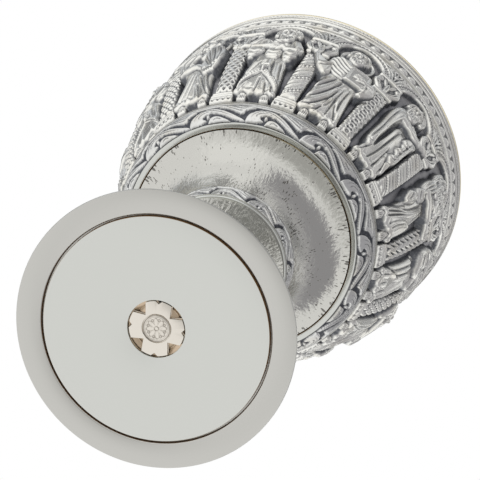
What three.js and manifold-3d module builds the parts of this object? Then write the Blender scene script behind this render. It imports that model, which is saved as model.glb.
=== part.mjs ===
// Chalice with an arcade of standing figures round its cup, in millimetres, +Z up.
// The foot stands on z = 0 and the stem's axis is x = y = 0.
import * as THREE from "three";
import { mergeVertices } from "three/addons/utils/BufferGeometryUtils.js";
import Module from "manifold-3d";

const wasm = await Module();
wasm.setup();

// Gaps between neighbouring pieces
const seatGap = 0.3;
const threadGap = 0.12;
const turnGap = 0.4;
const seamGap = 0.35;

// The arcade's bays, and the facets round the axis
const bayCount = 13;
const firstColumnAzimuth = THREE.MathUtils.degToRad(-88.1);
const largeSides = 28;
const smallSides = 20;

// Sheet metal
const shellThickness = 1.2;

// Foot rim, a turned ring with a rebate for the base plate
const footRadius = 54.8;
const footRimHeight = 6;
const footRimWidth = 10.1;
const footLipHeight = 0.8;
const footEdgeDepth = 2.8;
const footLedgeWidth = 3;

// Base plate
const plateThickness = 1.6;
const plateRecess = 0.3;
const plateSeam = 0.9;
const plateHoleRadius = 11.2;

// Lobed nut with its medallion
const nutThickness = 6;
const nutRecess = 0.35;
const nutArmHalfAngle = THREE.MathUtils.degToRad(28.6);
const nutArmCorner = 6.7;
const nutNotchDepth = 1.1;
const nutNotchHalfAngle = THREE.MathUtils.degToRad(6.4);
const nutAzimuth = THREE.MathUtils.degToRad(54.5);
const medallionRadius = 5.35;
const medallionThickness = 0.8;
const medallionRimWidth = 0.8;
const medallionRelief = 0.25;

// Tie rod, and the brass cup and tube that it clamps
const rodRadius = 4;
const rodDepthInNut = 3.6;
const nutCupWall = 1.4;
const nutCupFloor = 1.5;
const spacerWall = 2;
const stemBoreGap = 1;

// Foot shell and stem
const footFlangeWidth = 7;
const footShellHeight = 32;
const neckRadius = 10.5;
const stemRingHeight = 3.6;
const stemRingBulge = 2.4;
const lowerStemHeight = 7;
const stemWaist = 1.4;
const knopHeight = 18;
const knopRadius = 17;
const upperStemHeight = 5;
const stemFlareHeight = 11;

// Collar below the cup
const collarRadius = 27;
const collarWidth = 4;
const collarRingHeight = 2.8;
const leafCollarHeight = 9.4;
const leafRelief = 0.8;
const leafCount = 12;

// Bowl's underside
const bowlFlareHeight = 22.6;
const plainRingInner = 42.7;
const plainRingWidth = 2.5;
const plainRingThickness = 1.6;
const scrollBandHeight = 9.2;
const scrollBandSpread = 4.25;
const scrollBandBulge = 1.1;
const scrollRelief = 0.7;
const scrollWaves = 12;

// Frieze wall, with a ledge that the columns and figures stand on
const ledgeLip = 0.5;
const ledgeHeight = 1.3;
const ledgeWidth = 1.8;
const friezeHeight = 68;
const wallSpread = 10.4;
const wallCurve = 2.4;
const wallSteps = 5;

// Columns: half-widths, reach out of the wall, and heights
const columnReach = 3.3;
const columnShaftHalf = 3.9;
const columnBaseHalf = 4.9;
const columnCapHalf = 5.4;
const columnBaseHeight = 7;
const columnCapHeight = 12;

// Arches over the bays
const archReach = 2.4;
const archFootWidth = 5.2;
const archWidth = 3.7;
const archRise = 12;
const archCrown = 0.4;
const archSteps = 8;
const spandrelReach = 1.1;

// Figures: head's middle below the arch, half-widths and reach, mesh rows, and levels as shares of
// the height of the head's middle
const headDrop = 12.6;
const haloRadius = 6.8;
const haloThickness = 0.8;
const headHalfWidth = 3.7;
const headHalfHeight = 5.8;
const headReach = 4.4;
const robeHalfWidth = 7;
const robeReach = 3.1;
const sleeveRadius = 1.7;
const sleeveReach = 3.2;
const staffRadius = 1;
const slabReach = 1;
const foldCount = 3;
const foldDepth = 0.7;
const figureColumns = 10;
const robeRows = 11;
const headRows = 5;
const figureBack = 0.4;
const shares = { hem: 0.05, knee: 0.3, waist: 0.58, elbow: 0.66, chest: 0.77, shoulder: 0.87 };

// Bead band, rim and inner cup
const beadBandHeight = 7.4;
const beadBandProud = 1.8;
const beadRidge = 1.1;
const beadRidgeWidth = 1;
const beadReach = 1.5;
const beadHalf = 1.6;
const rimBandHeight = 2.7;
const lipHeight = 1.1;
const lipOverhang = 4.5;
const cupWall = 1.2;
const cupBowlHeight = 16;
const cupSink = 7.2;
const bossRadius = 9;
const bossHeight = 12;
const bossBoreDepth = 9;

// Heights that follow from the sizes above, from the table up
const footLedgeZ = plateRecess + plateThickness + seatGap;
const nutTopZ = nutRecess + nutThickness;
const nutCupFloorZ = nutTopZ + seatGap;
const nutCupTopZ = nutCupFloorZ + nutCupFloor;
const footShellZ = footRimHeight + seatGap;
const neckZ = footShellZ + footShellHeight;
const stemRingZ = neckZ + seatGap;
const lowerStemZ = stemRingZ + stemRingHeight + seatGap;
const knopZ = lowerStemZ + lowerStemHeight + seatGap;
const upperStemZ = knopZ + knopHeight + seatGap;
const stemFlareZ = upperStemZ + upperStemHeight + seatGap;
const collarRingZ = stemFlareZ + stemFlareHeight + seatGap;
const leafCollarZ = collarRingZ + collarRingHeight + seatGap;
const bowlFlareZ = leafCollarZ + leafCollarHeight + seatGap;
const plainRingZ = bowlFlareZ + bowlFlareHeight;
const scrollBandZ = plainRingZ + seatGap;
const ledgeZ = scrollBandZ + scrollBandHeight + seatGap;
const wallZ = ledgeZ + ledgeHeight;
const friezeTopZ = wallZ + friezeHeight;
const beadBandZ = friezeTopZ + seatGap;
const rimBandZ = beadBandZ + beadBandHeight + seatGap;
const lipZ = rimBandZ + rimBandHeight + seatGap;
const cupBottomZ = wallZ - cupSink;
const bossZ = cupBottomZ - seatGap - bossHeight;

// Radii and levels that follow
const plainRingOuter = plainRingInner + plainRingWidth;
const scrollBandStart = plainRingOuter + seamGap;
const scrollBandTop = scrollBandStart + scrollBandSpread;
const ledgeRadius = scrollBandTop + ledgeLip;
const wallBottom = ledgeRadius - ledgeWidth;
const wallTop = wallBottom + wallSpread;
const cupRadius = wallTop - shellThickness - seatGap;
const rimRadius = cupRadius + lipOverhang;
const beadBandRadius = wallTop + beadBandProud;
const springHeight = friezeHeight - archCrown - archRise;
const headLevel = springHeight + archRise - archWidth - headDrop;

// Finishes
const finishes = {
  satin: new THREE.MeshStandardMaterial({ color: 0xbcb8b4, roughness: 0.38, metalness: 1 }),
  polished: new THREE.MeshStandardMaterial({ color: 0xcbccc7, roughness: 0.16, metalness: 1 }),
  hammered: new THREE.MeshStandardMaterial({ color: 0xd0cfc9, roughness: 0.14, metalness: 1 }),
  relief: new THREE.MeshStandardMaterial({ color: 0xc4c3be, roughness: 0.3, metalness: 1 }),
  oxidised: new THREE.MeshStandardMaterial({ color: 0x6b6e76, roughness: 0.45, metalness: 0.8 }),
  brass: new THREE.MeshStandardMaterial({ color: 0xa8864a, roughness: 0.35, metalness: 1 }),
  gilt: new THREE.MeshStandardMaterial({ color: 0xe2c66e, roughness: 0.12, metalness: 1 }),
  steel: new THREE.MeshStandardMaterial({ color: 0x9a9b9c, roughness: 0.3, metalness: 1 }),
};

const chalice = new THREE.Group();

/** Adds a geometry to the object as a named node. */
function addNode(name, geometry, finish) {
  const mesh = new THREE.Mesh(geometry, finishes[finish]);
  mesh.name = name;
  chalice.add(mesh);
}

/** Turns a section, [radius, height] corners listed anticlockwise, about the axis. */
function revolve(corners, sides = largeSides) {
  const section = corners.map(([radius, height]) => new THREE.Vector2(radius, height));
  const closesOnAxis = corners[0][0] === 0;
  const geometry = new THREE.LatheGeometry(closesOnAxis ? section : [...section, section[0]], sides);
  return geometry.rotateX(Math.PI / 2);
}

/** Points of a curve between 0 and 1, as [radius, height] corners. */
function sweep(steps, radiusAt, heightAt) {
  return Array.from({ length: steps + 1 }, (_, i) => [radiusAt(i / steps), heightAt(i / steps)]);
}

/** Section of a sheet: its outer face from the bottom up, and that face moved inwards. */
function sheetSection(outer, thickness) {
  const inner = outer.map(([radius, height], i) => {
    const [beforeR, beforeH] = outer[Math.max(i - 1, 0)];
    const [afterR, afterH] = outer[Math.min(i + 1, outer.length - 1)];
    const run = Math.hypot(afterR - beforeR, afterH - beforeH);
    return [radius - ((afterH - beforeH) / run) * thickness, height + ((afterR - beforeR) / run) * thickness];
  });
  return [...outer, ...inner.reverse()];
}

/** Closed skin over loops of points. The last loop meets the first, or both ends are capped. */
function loopSkin(loops, capped) {
  const size = loops[0].length;
  const positions = loops.flat().flatMap((point) => point.toArray());
  const faces = [];
  const spans = capped ? loops.length - 1 : loops.length;
  for (let i = 0; i < spans; i += 1) {
    const next = (i + 1) % loops.length;
    for (let j = 0; j < size; j += 1) {
      const k = (j + 1) % size;
      faces.push(i * size + j, i * size + k, next * size + k);
      faces.push(i * size + j, next * size + k, next * size + j);
    }
  }
  if (capped) {
    for (const [loop, row] of [[loops[0], 0], [loops.at(-1), loops.length - 1]]) {
      const centre = positions.length / 3;
      const middle = loop.reduce((sum, point) => sum.add(point), new THREE.Vector3()).divideScalar(size);
      positions.push(...middle.toArray());
      for (let j = 0; j < size; j += 1) {
        const here = row * size + j;
        const there = row * size + ((j + 1) % size);
        faces.push(...(row === 0 ? [centre, there, here] : [centre, here, there]));
      }
    }
  }
  const geometry = new THREE.BufferGeometry();
  geometry.setAttribute("position", new THREE.Float32BufferAttribute(positions, 3));
  geometry.setIndex(faces);
  return geometry;
}

/** Ring whose section, given by sectionAt(angle), changes round the axis. */
function reliefRing(sides, sectionAt) {
  const loops = Array.from({ length: sides }, (_, i) => {
    const angle = (-2 * Math.PI * i) / sides;
    return sectionAt(angle).map(
      ([radius, height]) => new THREE.Vector3(radius * Math.cos(angle), radius * Math.sin(angle), height),
    );
  });
  return loopSkin(loops, false);
}

/** The same geometry as a solid for boolean work. */
function toSolid(geometry) {
  const bare = geometry.clone();
  for (const name of Object.keys(bare.attributes)) {
    if (name !== "position") bare.deleteAttribute(name);
  }
  const merged = mergeVertices(bare, 1e-4);
  return new wasm.Manifold(new wasm.Mesh({
    numProp: 3,
    vertProperties: new Float32Array(merged.attributes.position.array),
    triVerts: new Uint32Array(merged.index.array),
  }));
}

/** A boolean solid as a geometry again. */
function toGeometry(solid) {
  const mesh = solid.getMesh();
  const geometry = new THREE.BufferGeometry();
  geometry.setAttribute("position", new THREE.Float32BufferAttribute(mesh.vertProperties, 3));
  geometry.setIndex(Array.from(mesh.triVerts));
  return geometry;
}

/** Cuts the later geometries out of the first. */
function cut(body, ...tools) {
  return toGeometry(tools.map(toSolid).reduce((left, tool) => left.subtract(tool), toSolid(body)));
}

/** Upright cylinder from one height to another. */
function cylinder(radius, fromZ, toZ, sides = smallSides) {
  const geometry = new THREE.CylinderGeometry(radius, radius, toZ - fromZ, sides);
  return geometry.rotateX(Math.PI / 2).translate(0, 0, (fromZ + toZ) / 2);
}

/** Outer radius of the frieze wall at one of its steps: steep at the top, drawn in below. */
function wallStepRadius(step) {
  return wallBottom + (wallTop - wallBottom) * (1 - (1 - step / wallSteps) ** wallCurve);
}

/** Outer radius of the frieze wall at any height, straight from step to step. */
function wallRadius(z) {
  const along = THREE.MathUtils.clamp(((z - wallZ) / friezeHeight) * wallSteps, 0, wallSteps);
  const step = Math.min(Math.floor(along), wallSteps - 1);
  return THREE.MathUtils.lerp(wallStepRadius(step), wallStepRadius(step + 1), along - step);
}

/** Azimuth of a column, or of a bay's middle when the index ends in a half. */
function bayAzimuth(index) {
  return firstColumnAzimuth + (2 * Math.PI * index) / bayCount;
}

/** Lays a flat geometry on the wall: x along it, y above the ledge, z out of it. */
function layOnWall(geometry, azimuth) {
  const flat = geometry.attributes.position;
  for (let i = 0; i < flat.count; i += 1) {
    const z = wallZ + flat.getY(i);
    const radius = wallRadius(z) + flat.getZ(i);
    const angle = azimuth + flat.getX(i) / wallRadius(z);
    flat.setXYZ(i, radius * Math.cos(angle), radius * Math.sin(angle), z);
  }
  return geometry;
}

/** Half-round loop for a relief: wide in x, standing out of the wall in z, flat behind. */
function reliefLoop(middle, halfWidth, height, reach, steps, fold = () => 0) {
  const front = Array.from({ length: steps + 1 }, (_, i) => {
    const angle = (Math.PI * i) / steps;
    const swell = Math.sqrt(Math.sin(angle)) * reach + fold(i) * Math.sin(angle);
    return new THREE.Vector3(middle + halfWidth * Math.cos(angle), height, figureBack + Math.max(swell, 0));
  });
  return [...front.reverse(), new THREE.Vector3(middle, height, figureBack)];
}

/** Relief built up the wall from levels of [middle, half-width, height, reach]. */
function reliefLoft(levels, steps, fold) {
  const loops = levels.map(([middle, half, height, reach], row) =>
    reliefLoop(middle, half, height, reach, steps, fold && ((i) => fold(i, row))));
  return loopSkin(loops, true);
}

// Foot: turned rim, base plate, and the hammered shell above them
function addFoot() {
  const rimInner = footRadius - footRimWidth;
  const edge = sweep(
    5,
    (t) => footRadius - (footEdgeDepth * (1 - Math.cos(Math.PI * t))) / 2,
    (t) => footLipHeight + (footRimHeight - footLipHeight) * t,
  );
  addNode("foot_rim", revolve([
    [rimInner, 0],
    [footRadius, 0],
    ...edge,
    [rimInner - footLedgeWidth, footRimHeight],
    [rimInner - footLedgeWidth, footLedgeZ],
    [rimInner, footLedgeZ],
  ]), "satin");

  addNode("base_plate", revolve([
    [plateHoleRadius, plateRecess],
    [rimInner - plateSeam, plateRecess],
    [rimInner - plateSeam, plateRecess + plateThickness],
    [plateHoleRadius, plateRecess + plateThickness],
  ]), "polished");

  const flangeRadius = footRadius - footEdgeDepth;
  const curveStart = flangeRadius - footFlangeWidth;
  const bell = new THREE.CubicBezierCurve(
    new THREE.Vector2(curveStart, footShellZ + shellThickness),
    new THREE.Vector2(curveStart - (curveStart - neckRadius) * 0.55, footShellZ + shellThickness),
    new THREE.Vector2(neckRadius, footShellZ + footShellHeight * 0.35),
    new THREE.Vector2(neckRadius, neckZ),
  ).getPoints(5).map((point) => [point.x, point.y]);
  const outer = [[flangeRadius, footShellZ + shellThickness], ...bell];
  const sheet = sheetSection(outer, shellThickness);
  const bore = rodRadius + stemBoreGap;
  const innerNeck = sheet[outer.length];
  const webbed = [
    ...sheet.slice(0, outer.length),
    [bore, neckZ],
    [bore, neckZ - shellThickness],
    [innerNeck[0], neckZ - shellThickness],
    ...sheet.slice(outer.length + 1),
  ];
  addNode("foot_shell", revolve(webbed), "hammered");
}

// Fixing: lobed nut with its medallion, brass cup, spacer tube and tie rod
function addFixing() {
  const nutRadius = plateHoleRadius - turnGap;
  const onCircle = (radius, angle) => new THREE.Vector2(radius * Math.cos(angle), radius * Math.sin(angle));
  const outline = [];
  for (let arm = 0; arm < 4; arm += 1) {
    const middle = nutAzimuth + (arm * Math.PI) / 2;
    for (const side of [-1, 1]) {
      const rim = [nutArmHalfAngle, (nutArmHalfAngle + nutNotchHalfAngle) / 2, nutNotchHalfAngle];
      for (const angle of side < 0 ? rim : rim.toReversed()) {
        outline.push(onCircle(nutRadius, middle + side * angle));
      }
      const tip = side < 0
        ? onCircle(nutRadius - nutNotchDepth, middle)
        : onCircle(nutArmCorner, middle + Math.PI / 4);
      outline.push(tip);
    }
  }
  const extrusion = { depth: nutThickness, bevelEnabled: false };
  const lobes = new THREE.ExtrudeGeometry(new THREE.Shape(outline), extrusion);
  const pocketDepth = medallionThickness + seatGap;
  addNode("fixing_nut", cut(
    lobes.translate(0, 0, nutRecess),
    cylinder(medallionRadius + seatGap, nutRecess - 1, nutRecess + pocketDepth),
    cylinder(rodRadius + threadGap, nutTopZ - rodDepthInNut - seatGap, nutTopZ + 1),
  ), "polished");

  addNode("nut_medallion", revolve([
    [0, nutRecess + medallionRelief],
    [medallionRadius - 2 * medallionRimWidth, nutRecess + medallionRelief],
    [medallionRadius - medallionRimWidth, nutRecess],
    [medallionRadius, nutRecess],
    [medallionRadius, nutRecess + medallionThickness],
    [0, nutRecess + medallionThickness],
  ], smallSides), "polished");

  const cupInner = plateHoleRadius + seatGap;
  const cupFootZ = plateRecess + plateThickness + seatGap;
  const bore = rodRadius + stemBoreGap;
  addNode("nut_cup", revolve([
    [cupInner, cupFootZ],
    [cupInner + nutCupWall, cupFootZ],
    [cupInner + nutCupWall, nutCupTopZ],
    [bore, nutCupTopZ],
    [bore, nutCupFloorZ],
    [cupInner, nutCupFloorZ],
  ], smallSides), "brass");

  addNode("spacer_tube", revolve([
    [bore, nutCupTopZ + seatGap],
    [bore + spacerWall, nutCupTopZ + seatGap],
    [bore + spacerWall, neckZ - shellThickness - seatGap],
    [bore, neckZ - shellThickness - seatGap],
  ], smallSides), "brass");

  addNode("tie_rod", cylinder(rodRadius, nutTopZ - rodDepthInNut, bossZ + bossBoreDepth - seatGap), "steel");
}

// Stem: ring, waisted tube, knop, waisted tube and the flare that carries the collar
function addStem() {
  const bore = rodRadius + stemBoreGap;
  const tube = (bottomZ, height, bulge, steps) => revolve([
    ...sweep(steps, (t) => neckRadius + bulge * Math.sin(Math.PI * t), (t) => bottomZ + height * t),
    [bore, bottomZ + height],
    [bore, bottomZ],
  ], smallSides);
  addNode("stem_ring", tube(stemRingZ, stemRingHeight, stemRingBulge, 2), "polished");
  addNode("lower_stem", tube(lowerStemZ, lowerStemHeight, -stemWaist, 2), "hammered");
  addNode("knop", tube(knopZ, knopHeight, knopRadius - neckRadius, 6), "hammered");
  addNode("upper_stem", tube(upperStemZ, upperStemHeight, -stemWaist, 2), "hammered");

  const flareRadius = collarRadius - 2 * seatGap;
  const flare = new THREE.CubicBezierCurve(
    new THREE.Vector2(neckRadius, stemFlareZ),
    new THREE.Vector2(neckRadius, stemFlareZ + stemFlareHeight * 0.7),
    new THREE.Vector2(flareRadius - stemFlareHeight * 0.7, stemFlareZ + stemFlareHeight - shellThickness),
    new THREE.Vector2(flareRadius, stemFlareZ + stemFlareHeight - shellThickness),
  ).getPoints(4).map((point) => [point.x, point.y]);
  addNode("stem_flare", revolve(sheetSection(flare, shellThickness), smallSides), "hammered");
}

// Collar: plain ring, and the leafy ring that the bowl stands on
function addCollar() {
  const inner = collarRadius - collarWidth;
  addNode("collar_ring", revolve([
    [inner, collarRingZ],
    [collarRadius, collarRingZ],
    [collarRadius, collarRingZ + collarRingHeight],
    [inner, collarRingZ + collarRingHeight],
  ], smallSides), "polished");

  addNode("leaf_collar", reliefRing(3 * leafCount, (angle) => {
    const lobe = 0.5 + 0.5 * Math.cos(leafCount * angle);
    const outer = sweep(
      3,
      (t) => collarRadius - leafRelief + leafRelief * lobe * Math.sin(Math.PI * t) ** 2,
      (t) => leafCollarZ + leafCollarHeight * t,
    );
    return [...outer, [inner, leafCollarZ + leafCollarHeight], [inner, leafCollarZ]];
  }), "relief");
}

// Underside of the bowl: hammered flare, plain ring and scroll band
function addBowl() {
  const startRadius = collarRadius - leafRelief;
  const endRadius = plainRingInner - seamGap;
  const flare = new THREE.CubicBezierCurve(
    new THREE.Vector2(startRadius, bowlFlareZ),
    new THREE.Vector2(startRadius + 2, bowlFlareZ + bowlFlareHeight * 0.45),
    new THREE.Vector2(endRadius - 9, bowlFlareZ + bowlFlareHeight * 0.9),
    new THREE.Vector2(endRadius, plainRingZ),
  ).getPoints(5).map((point) => [point.x, point.y]);
  const section = sheetSection(flare, shellThickness);
  section[section.length - 1][1] = bowlFlareZ;
  addNode("bowl_flare", revolve(section), "hammered");

  addNode("plain_ring", revolve([
    [plainRingInner, plainRingZ],
    [plainRingOuter, plainRingZ],
    [plainRingOuter, plainRingZ + plainRingThickness],
    [plainRingInner, plainRingZ + plainRingThickness],
  ]), "polished");

  addNode("scroll_band", reliefRing(3 * scrollWaves, (angle) => {
    const outer = sweep(
      3,
      (t) => {
        const wave = 0.5 + 0.5 * Math.cos(scrollWaves * angle + 2 * Math.PI * t);
        const relief = scrollRelief * wave * Math.sin(Math.PI * t);
        return scrollBandStart + scrollBandSpread * t + scrollBandBulge * Math.sin(Math.PI * t) + relief;
      },
      (t) => scrollBandZ + scrollBandHeight * t,
    );
    return [
      ...outer,
      [scrollBandTop - shellThickness, scrollBandZ + scrollBandHeight],
      [scrollBandStart, scrollBandZ + shellThickness],
    ];
  }), "relief");
}

// Frieze wall with its ledge
function addWall() {
  const wall = sweep(wallSteps, (t) => wallRadius(wallZ + friezeHeight * t), (t) => wallZ + friezeHeight * t);
  const inner = wall.map(([radius, height]) => [radius - shellThickness, height]).reverse();
  addNode("frieze_wall", revolve([
    [ledgeRadius, ledgeZ],
    [ledgeRadius, wallZ],
    ...wall,
    ...inner,
    [wallBottom - shellThickness, ledgeZ],
  ]), "oxidised");
}

// Columns: base with two rolls, tapered shaft, leafy capital and abacus
function addColumns() {
  const bottom = seatGap;
  const top = springHeight - seatGap;
  const capBottom = top - columnCapHeight;
  const shaftTop = columnShaftHalf * 0.94;
  const levels = [
    [0, columnBaseHalf, bottom, columnReach],
    [0, columnBaseHalf, bottom + columnBaseHeight * 0.8, columnReach],
    [0, columnShaftHalf, bottom + columnBaseHeight, columnReach * 0.85],
    [0, (columnShaftHalf + shaftTop) / 2, (bottom + columnBaseHeight + capBottom) / 2, columnReach * 0.85],
    [0, shaftTop, capBottom, columnReach * 0.8],
    [0, columnCapHalf * 0.82, capBottom + columnCapHeight * 0.25, columnReach * 0.85],
    [0, columnCapHalf, capBottom + columnCapHeight * 0.75, columnReach],
    [0, columnCapHalf, top, columnReach],
  ];
  for (let bay = 0; bay < bayCount; bay += 1) {
    const name = `column_${String(bay + 1).padStart(2, "0")}`;
    addNode(name, layOnWall(reliefLoft(levels, 4), bayAzimuth(bay)), "relief");
  }
}

// Arcade: round arches from capital to capital, raised in front of the spandrels between them
function addArcade() {
  const archHalf = (Math.PI * wallTop) / bayCount;
  const rise = (along, half, height) => height * Math.sqrt(Math.max(0, 1 - (along / half) ** 2));
  const loops = [];
  for (let bay = 0; bay < bayCount; bay += 1) {
    for (let i = 0; i < archSteps; i += 1) {
      const along = -archHalf * Math.cos((Math.PI * i) / archSteps);
      const azimuth = bayAzimuth(bay + 0.5) + along / wallTop;
      const intrados = springHeight + rise(along, archHalf - archFootWidth, archRise - archWidth);
      const extrados = springHeight + rise(along, archHalf, archRise);
      const corners = [
        [intrados, seatGap],
        [intrados, archReach * 0.7],
        [extrados, archReach],
        [extrados, spandrelReach],
        [friezeHeight, spandrelReach],
        [friezeHeight, seatGap],
      ];
      loops.push(corners.map(([height, reach]) => {
        const radius = wallRadius(wallZ + height) + reach;
        return new THREE.Vector3(radius * Math.cos(azimuth), radius * Math.sin(azimuth), wallZ + height);
      }));
    }
  }
  addNode("arcade", loopSkin(loops.reverse(), false), "relief");
}

/** Straight-line value at a place among sorted [place, value] pairs. */
function valueAt(pairs, place) {
  const next = pairs.findIndex(([pairPlace]) => pairPlace >= place);
  if (next <= 0) return next === 0 ? pairs[0][1] : pairs.at(-1)[1];
  const [fromPlace, fromValue] = pairs[next - 1];
  const [toPlace, toValue] = pairs[next];
  return THREE.MathUtils.mapLinear(place, fromPlace, toPlace, fromValue, toValue);
}

/** Form of a limb: a round bar along points given as shares of [robe half-width, head level]. */
function limb(points, radius, reach) {
  const place = ([across, share]) => new THREE.Vector3(across * robeHalfWidth, share * headLevel, 0);
  const path = points.map(place);
  const closest = new THREE.Vector3();
  return (x, height) => {
    const here = new THREE.Vector3(x, height, 0);
    const away = Math.min(...path.slice(1).map((end, i) =>
      new THREE.Line3(path[i], end).closestPointToPoint(here, true, closest).distanceTo(here)));
    return away < radius ? reach + Math.sqrt(radius ** 2 - away ** 2) : 0;
  };
}

/** Form of a book or scroll: a flat box, its middle and half-sizes given as shares like a limb's. */
function slab(across, share, halfAcross, halfShare) {
  return (x, height) => {
    const inside = Math.abs(x / robeHalfWidth - across) < halfAcross
      && Math.abs(height / headLevel - share) < halfShare;
    return inside ? robeReach + slabReach : 0;
  };
}

/** Arms and what the hands hold, as forms, for one figure's gesture. side is -1 or 1. */
function gestureForms(gesture, side) {
  const hands = (shares.waist + shares.chest) / 2;
  const arm = (toSide, across, share) => {
    const elbow = [0.85 * toSide, shares.elbow];
    return limb([[0.8 * toSide, shares.shoulder], elbow, [across, share]], sleeveRadius, sleeveReach);
  };
  const forms = {
    book: [
      arm(side, side * 0.3, hands - 0.05),
      arm(-side, -side * 0.3, hands),
      slab(side * 0.22, hands, 0.4, 0.08),
    ],
    staff: [
      arm(side, side * 0.6, hands),
      arm(-side, 0, hands - 0.07),
      limb([[side * 0.66, shares.hem], [side * 0.75, shares.shoulder]], staffRadius, sleeveReach),
    ],
    blessing: [arm(side, side * 0.45, shares.shoulder), arm(-side, -side * 0.15, hands - 0.04)],
    crossed: [arm(side, -side * 0.22, hands + 0.04), arm(-side, side * 0.22, hands - 0.02)],
    scroll: [
      arm(side, side * 0.42, hands),
      arm(-side, -side * 0.42, hands),
      slab(side * 0.45, hands - 0.16, 0.22, 0.14),
    ],
  };
  return forms[gesture];
}

/** Figure as rows up the wall. Each point stands out as far as the tallest form there. */
function reliefFigure(rows, halfWidthAt, forms) {
  const loops = rows.map((height) => {
    const half = halfWidthAt(height);
    const front = Array.from({ length: figureColumns + 1 }, (_, i) => {
      const angle = (Math.PI * i) / figureColumns;
      const x = -half * Math.cos(angle);
      const reach = Math.max(...forms.map((form) => form(x, height)));
      return new THREE.Vector3(x, height, figureBack + reach * Math.sqrt(Math.max(0, Math.sin(angle))));
    });
    return [...front, new THREE.Vector3(0, height, figureBack)];
  });
  return loopSkin(loops, true);
}

// Figures: robe with folds, arms with what they hold, head, and halo on every other one
function addFigures() {
  const gestures = ["book", "crossed", "blessing", "staff", "scroll"];
  const chin = headLevel - headHalfHeight;
  const shoulder = headLevel * shares.shoulder;
  const robeOutline = [
    [0, robeHalfWidth * 0.8],
    [headLevel * shares.knee, robeHalfWidth * 0.92],
    [headLevel * shares.waist, robeHalfWidth],
    [headLevel * shares.chest, robeHalfWidth],
    [shoulder, robeHalfWidth * 0.85],
  ];
  const evenly = (from, to, count) =>
    Array.from({ length: count }, (_, i) => from + ((to - from) * i) / (count - 1));
  for (let bay = 0; bay < bayCount; bay += 1) {
    const side = bay % 2 === 0 ? 1 : -1;
    const crownRadius = bay % 2 === 0 ? haloRadius : 0;
    const top = headLevel + Math.max(headHalfHeight, crownRadius);
    const headWidth = (height) => {
      const up = Math.min(Math.abs(height - headLevel), top - headLevel) / (top - headLevel);
      const wide = Math.max(headHalfWidth, crownRadius);
      return Math.max(wide * Math.sqrt(1 - up ** 2), headHalfWidth * 0.5);
    };
    const forms = [
      (x, height) => {
        const below = height < chin;
        const fold = Math.cos((foldCount * Math.PI * x) / robeHalfWidth + side * (height / robeHalfWidth));
        const depth = height < headLevel * shares.waist ? foldDepth : foldDepth * 0.5;
        return below ? robeReach + depth * fold : haloThickness;
      },
      (x, height) => {
        const off = (x / headHalfWidth) ** 2 + ((height - headLevel) / headHalfHeight) ** 2;
        return off < 1 ? haloThickness + (headReach - haloThickness) * Math.sqrt(1 - off) : 0;
      },
      ...gestureForms(gestures[(bay * 3) % gestures.length], side),
    ];
    const rows = [...evenly(seatGap, shoulder, robeRows), ...evenly(chin, top, headRows)];
    const figure = reliefFigure(
      rows,
      (height) => (height < chin ? valueAt(robeOutline, height) : headWidth(height)),
      forms,
    );
    addNode(`figure_${String(bay + 1).padStart(2, "0")}`, layOnWall(figure, bayAzimuth(bay + 0.5)), "relief");
  }
}

// Bead band: two ridges with a roll between them, which the beads are chased on
function addBeadBand() {
  const middleZ = beadBandZ + beadBandHeight / 2;
  const topZ = beadBandZ + beadBandHeight;
  const ridge = beadBandRadius + beadRidge;
  const inner = cupRadius + seatGap;
  const roll = sweep(
    2,
    (t) => beadBandRadius + beadReach * Math.sin(Math.PI * t),
    (t) => middleZ + beadHalf * (2 * t - 1),
  );
  addNode("bead_band", revolve([
    [inner, beadBandZ],
    [ridge, beadBandZ],
    [ridge, beadBandZ + beadRidgeWidth],
    [beadBandRadius, beadBandZ + beadRidgeWidth],
    ...roll,
    [beadBandRadius, topZ - beadRidgeWidth],
    [ridge, topZ - beadRidgeWidth],
    [ridge, topZ],
    [inner, topZ],
  ]), "relief");
}

// Rim band, and the inner cup with its turned-out lip and threaded boss
function addCup() {
  const inner = cupRadius + seatGap;
  addNode("rim_band", revolve([
    [inner, rimBandZ],
    [rimRadius, rimBandZ],
    [rimRadius, rimBandZ + rimBandHeight],
    [inner, rimBandZ + rimBandHeight],
  ]), "polished");

  const bowlTopZ = cupBottomZ + cupBowlHeight;
  const outerAt = (z) => wallRadius(z) - shellThickness - seatGap;
  const bowl = sweep(
    3,
    (t) => outerAt(bowlTopZ) * Math.sin((Math.PI / 2) * t),
    (t) => bowlTopZ - cupBowlHeight * Math.cos((Math.PI / 2) * t),
  );
  const side = sweep(wallSteps, (t) => outerAt(wallZ + friezeHeight * t), (t) => wallZ + friezeHeight * t)
    .filter(([, height]) => height > bowlTopZ);
  const hollow = [...bowl, ...side].map(([radius, height], i) =>
    (i === 0 ? [0, height + cupWall] : [radius - cupWall, Math.max(height, cupBottomZ + cupWall)]));
  const lipTop = lipZ + lipHeight;
  addNode("inner_cup", revolve([
    ...bowl,
    ...side,
    [cupRadius, lipZ],
    [rimRadius, lipZ],
    [rimRadius, lipTop],
    [cupRadius - cupWall, lipTop],
    ...hollow.reverse(),
  ]), "gilt");

  addNode("cup_boss", cut(
    cylinder(bossRadius, bossZ, bossZ + bossHeight),
    cylinder(rodRadius + threadGap, bossZ - 1, bossZ + bossBoreDepth),
  ), "brass");
}

addFoot();
addFixing();
addStem();
addCollar();
addBowl();
addWall();
addColumns();
addArcade();
addFigures();
addBeadBand();
addCup();

export default chalice;
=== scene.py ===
"""Looks of a silver chalice whose cup carries an arcade of standing figures, built round its CAD part.

Lengths are in millimetres until a mesh is made. Heights are measured from the table that the foot
stands on, and the stem's axis is x = y = 0. Azimuths run anticlockwise from +X.
"""

import logging
import math
from collections.abc import Callable, Iterable, Sequence
from dataclasses import dataclass, field, replace
from enum import Enum

import bpy
import numpy as np
from mathutils import Matrix, Vector


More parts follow.
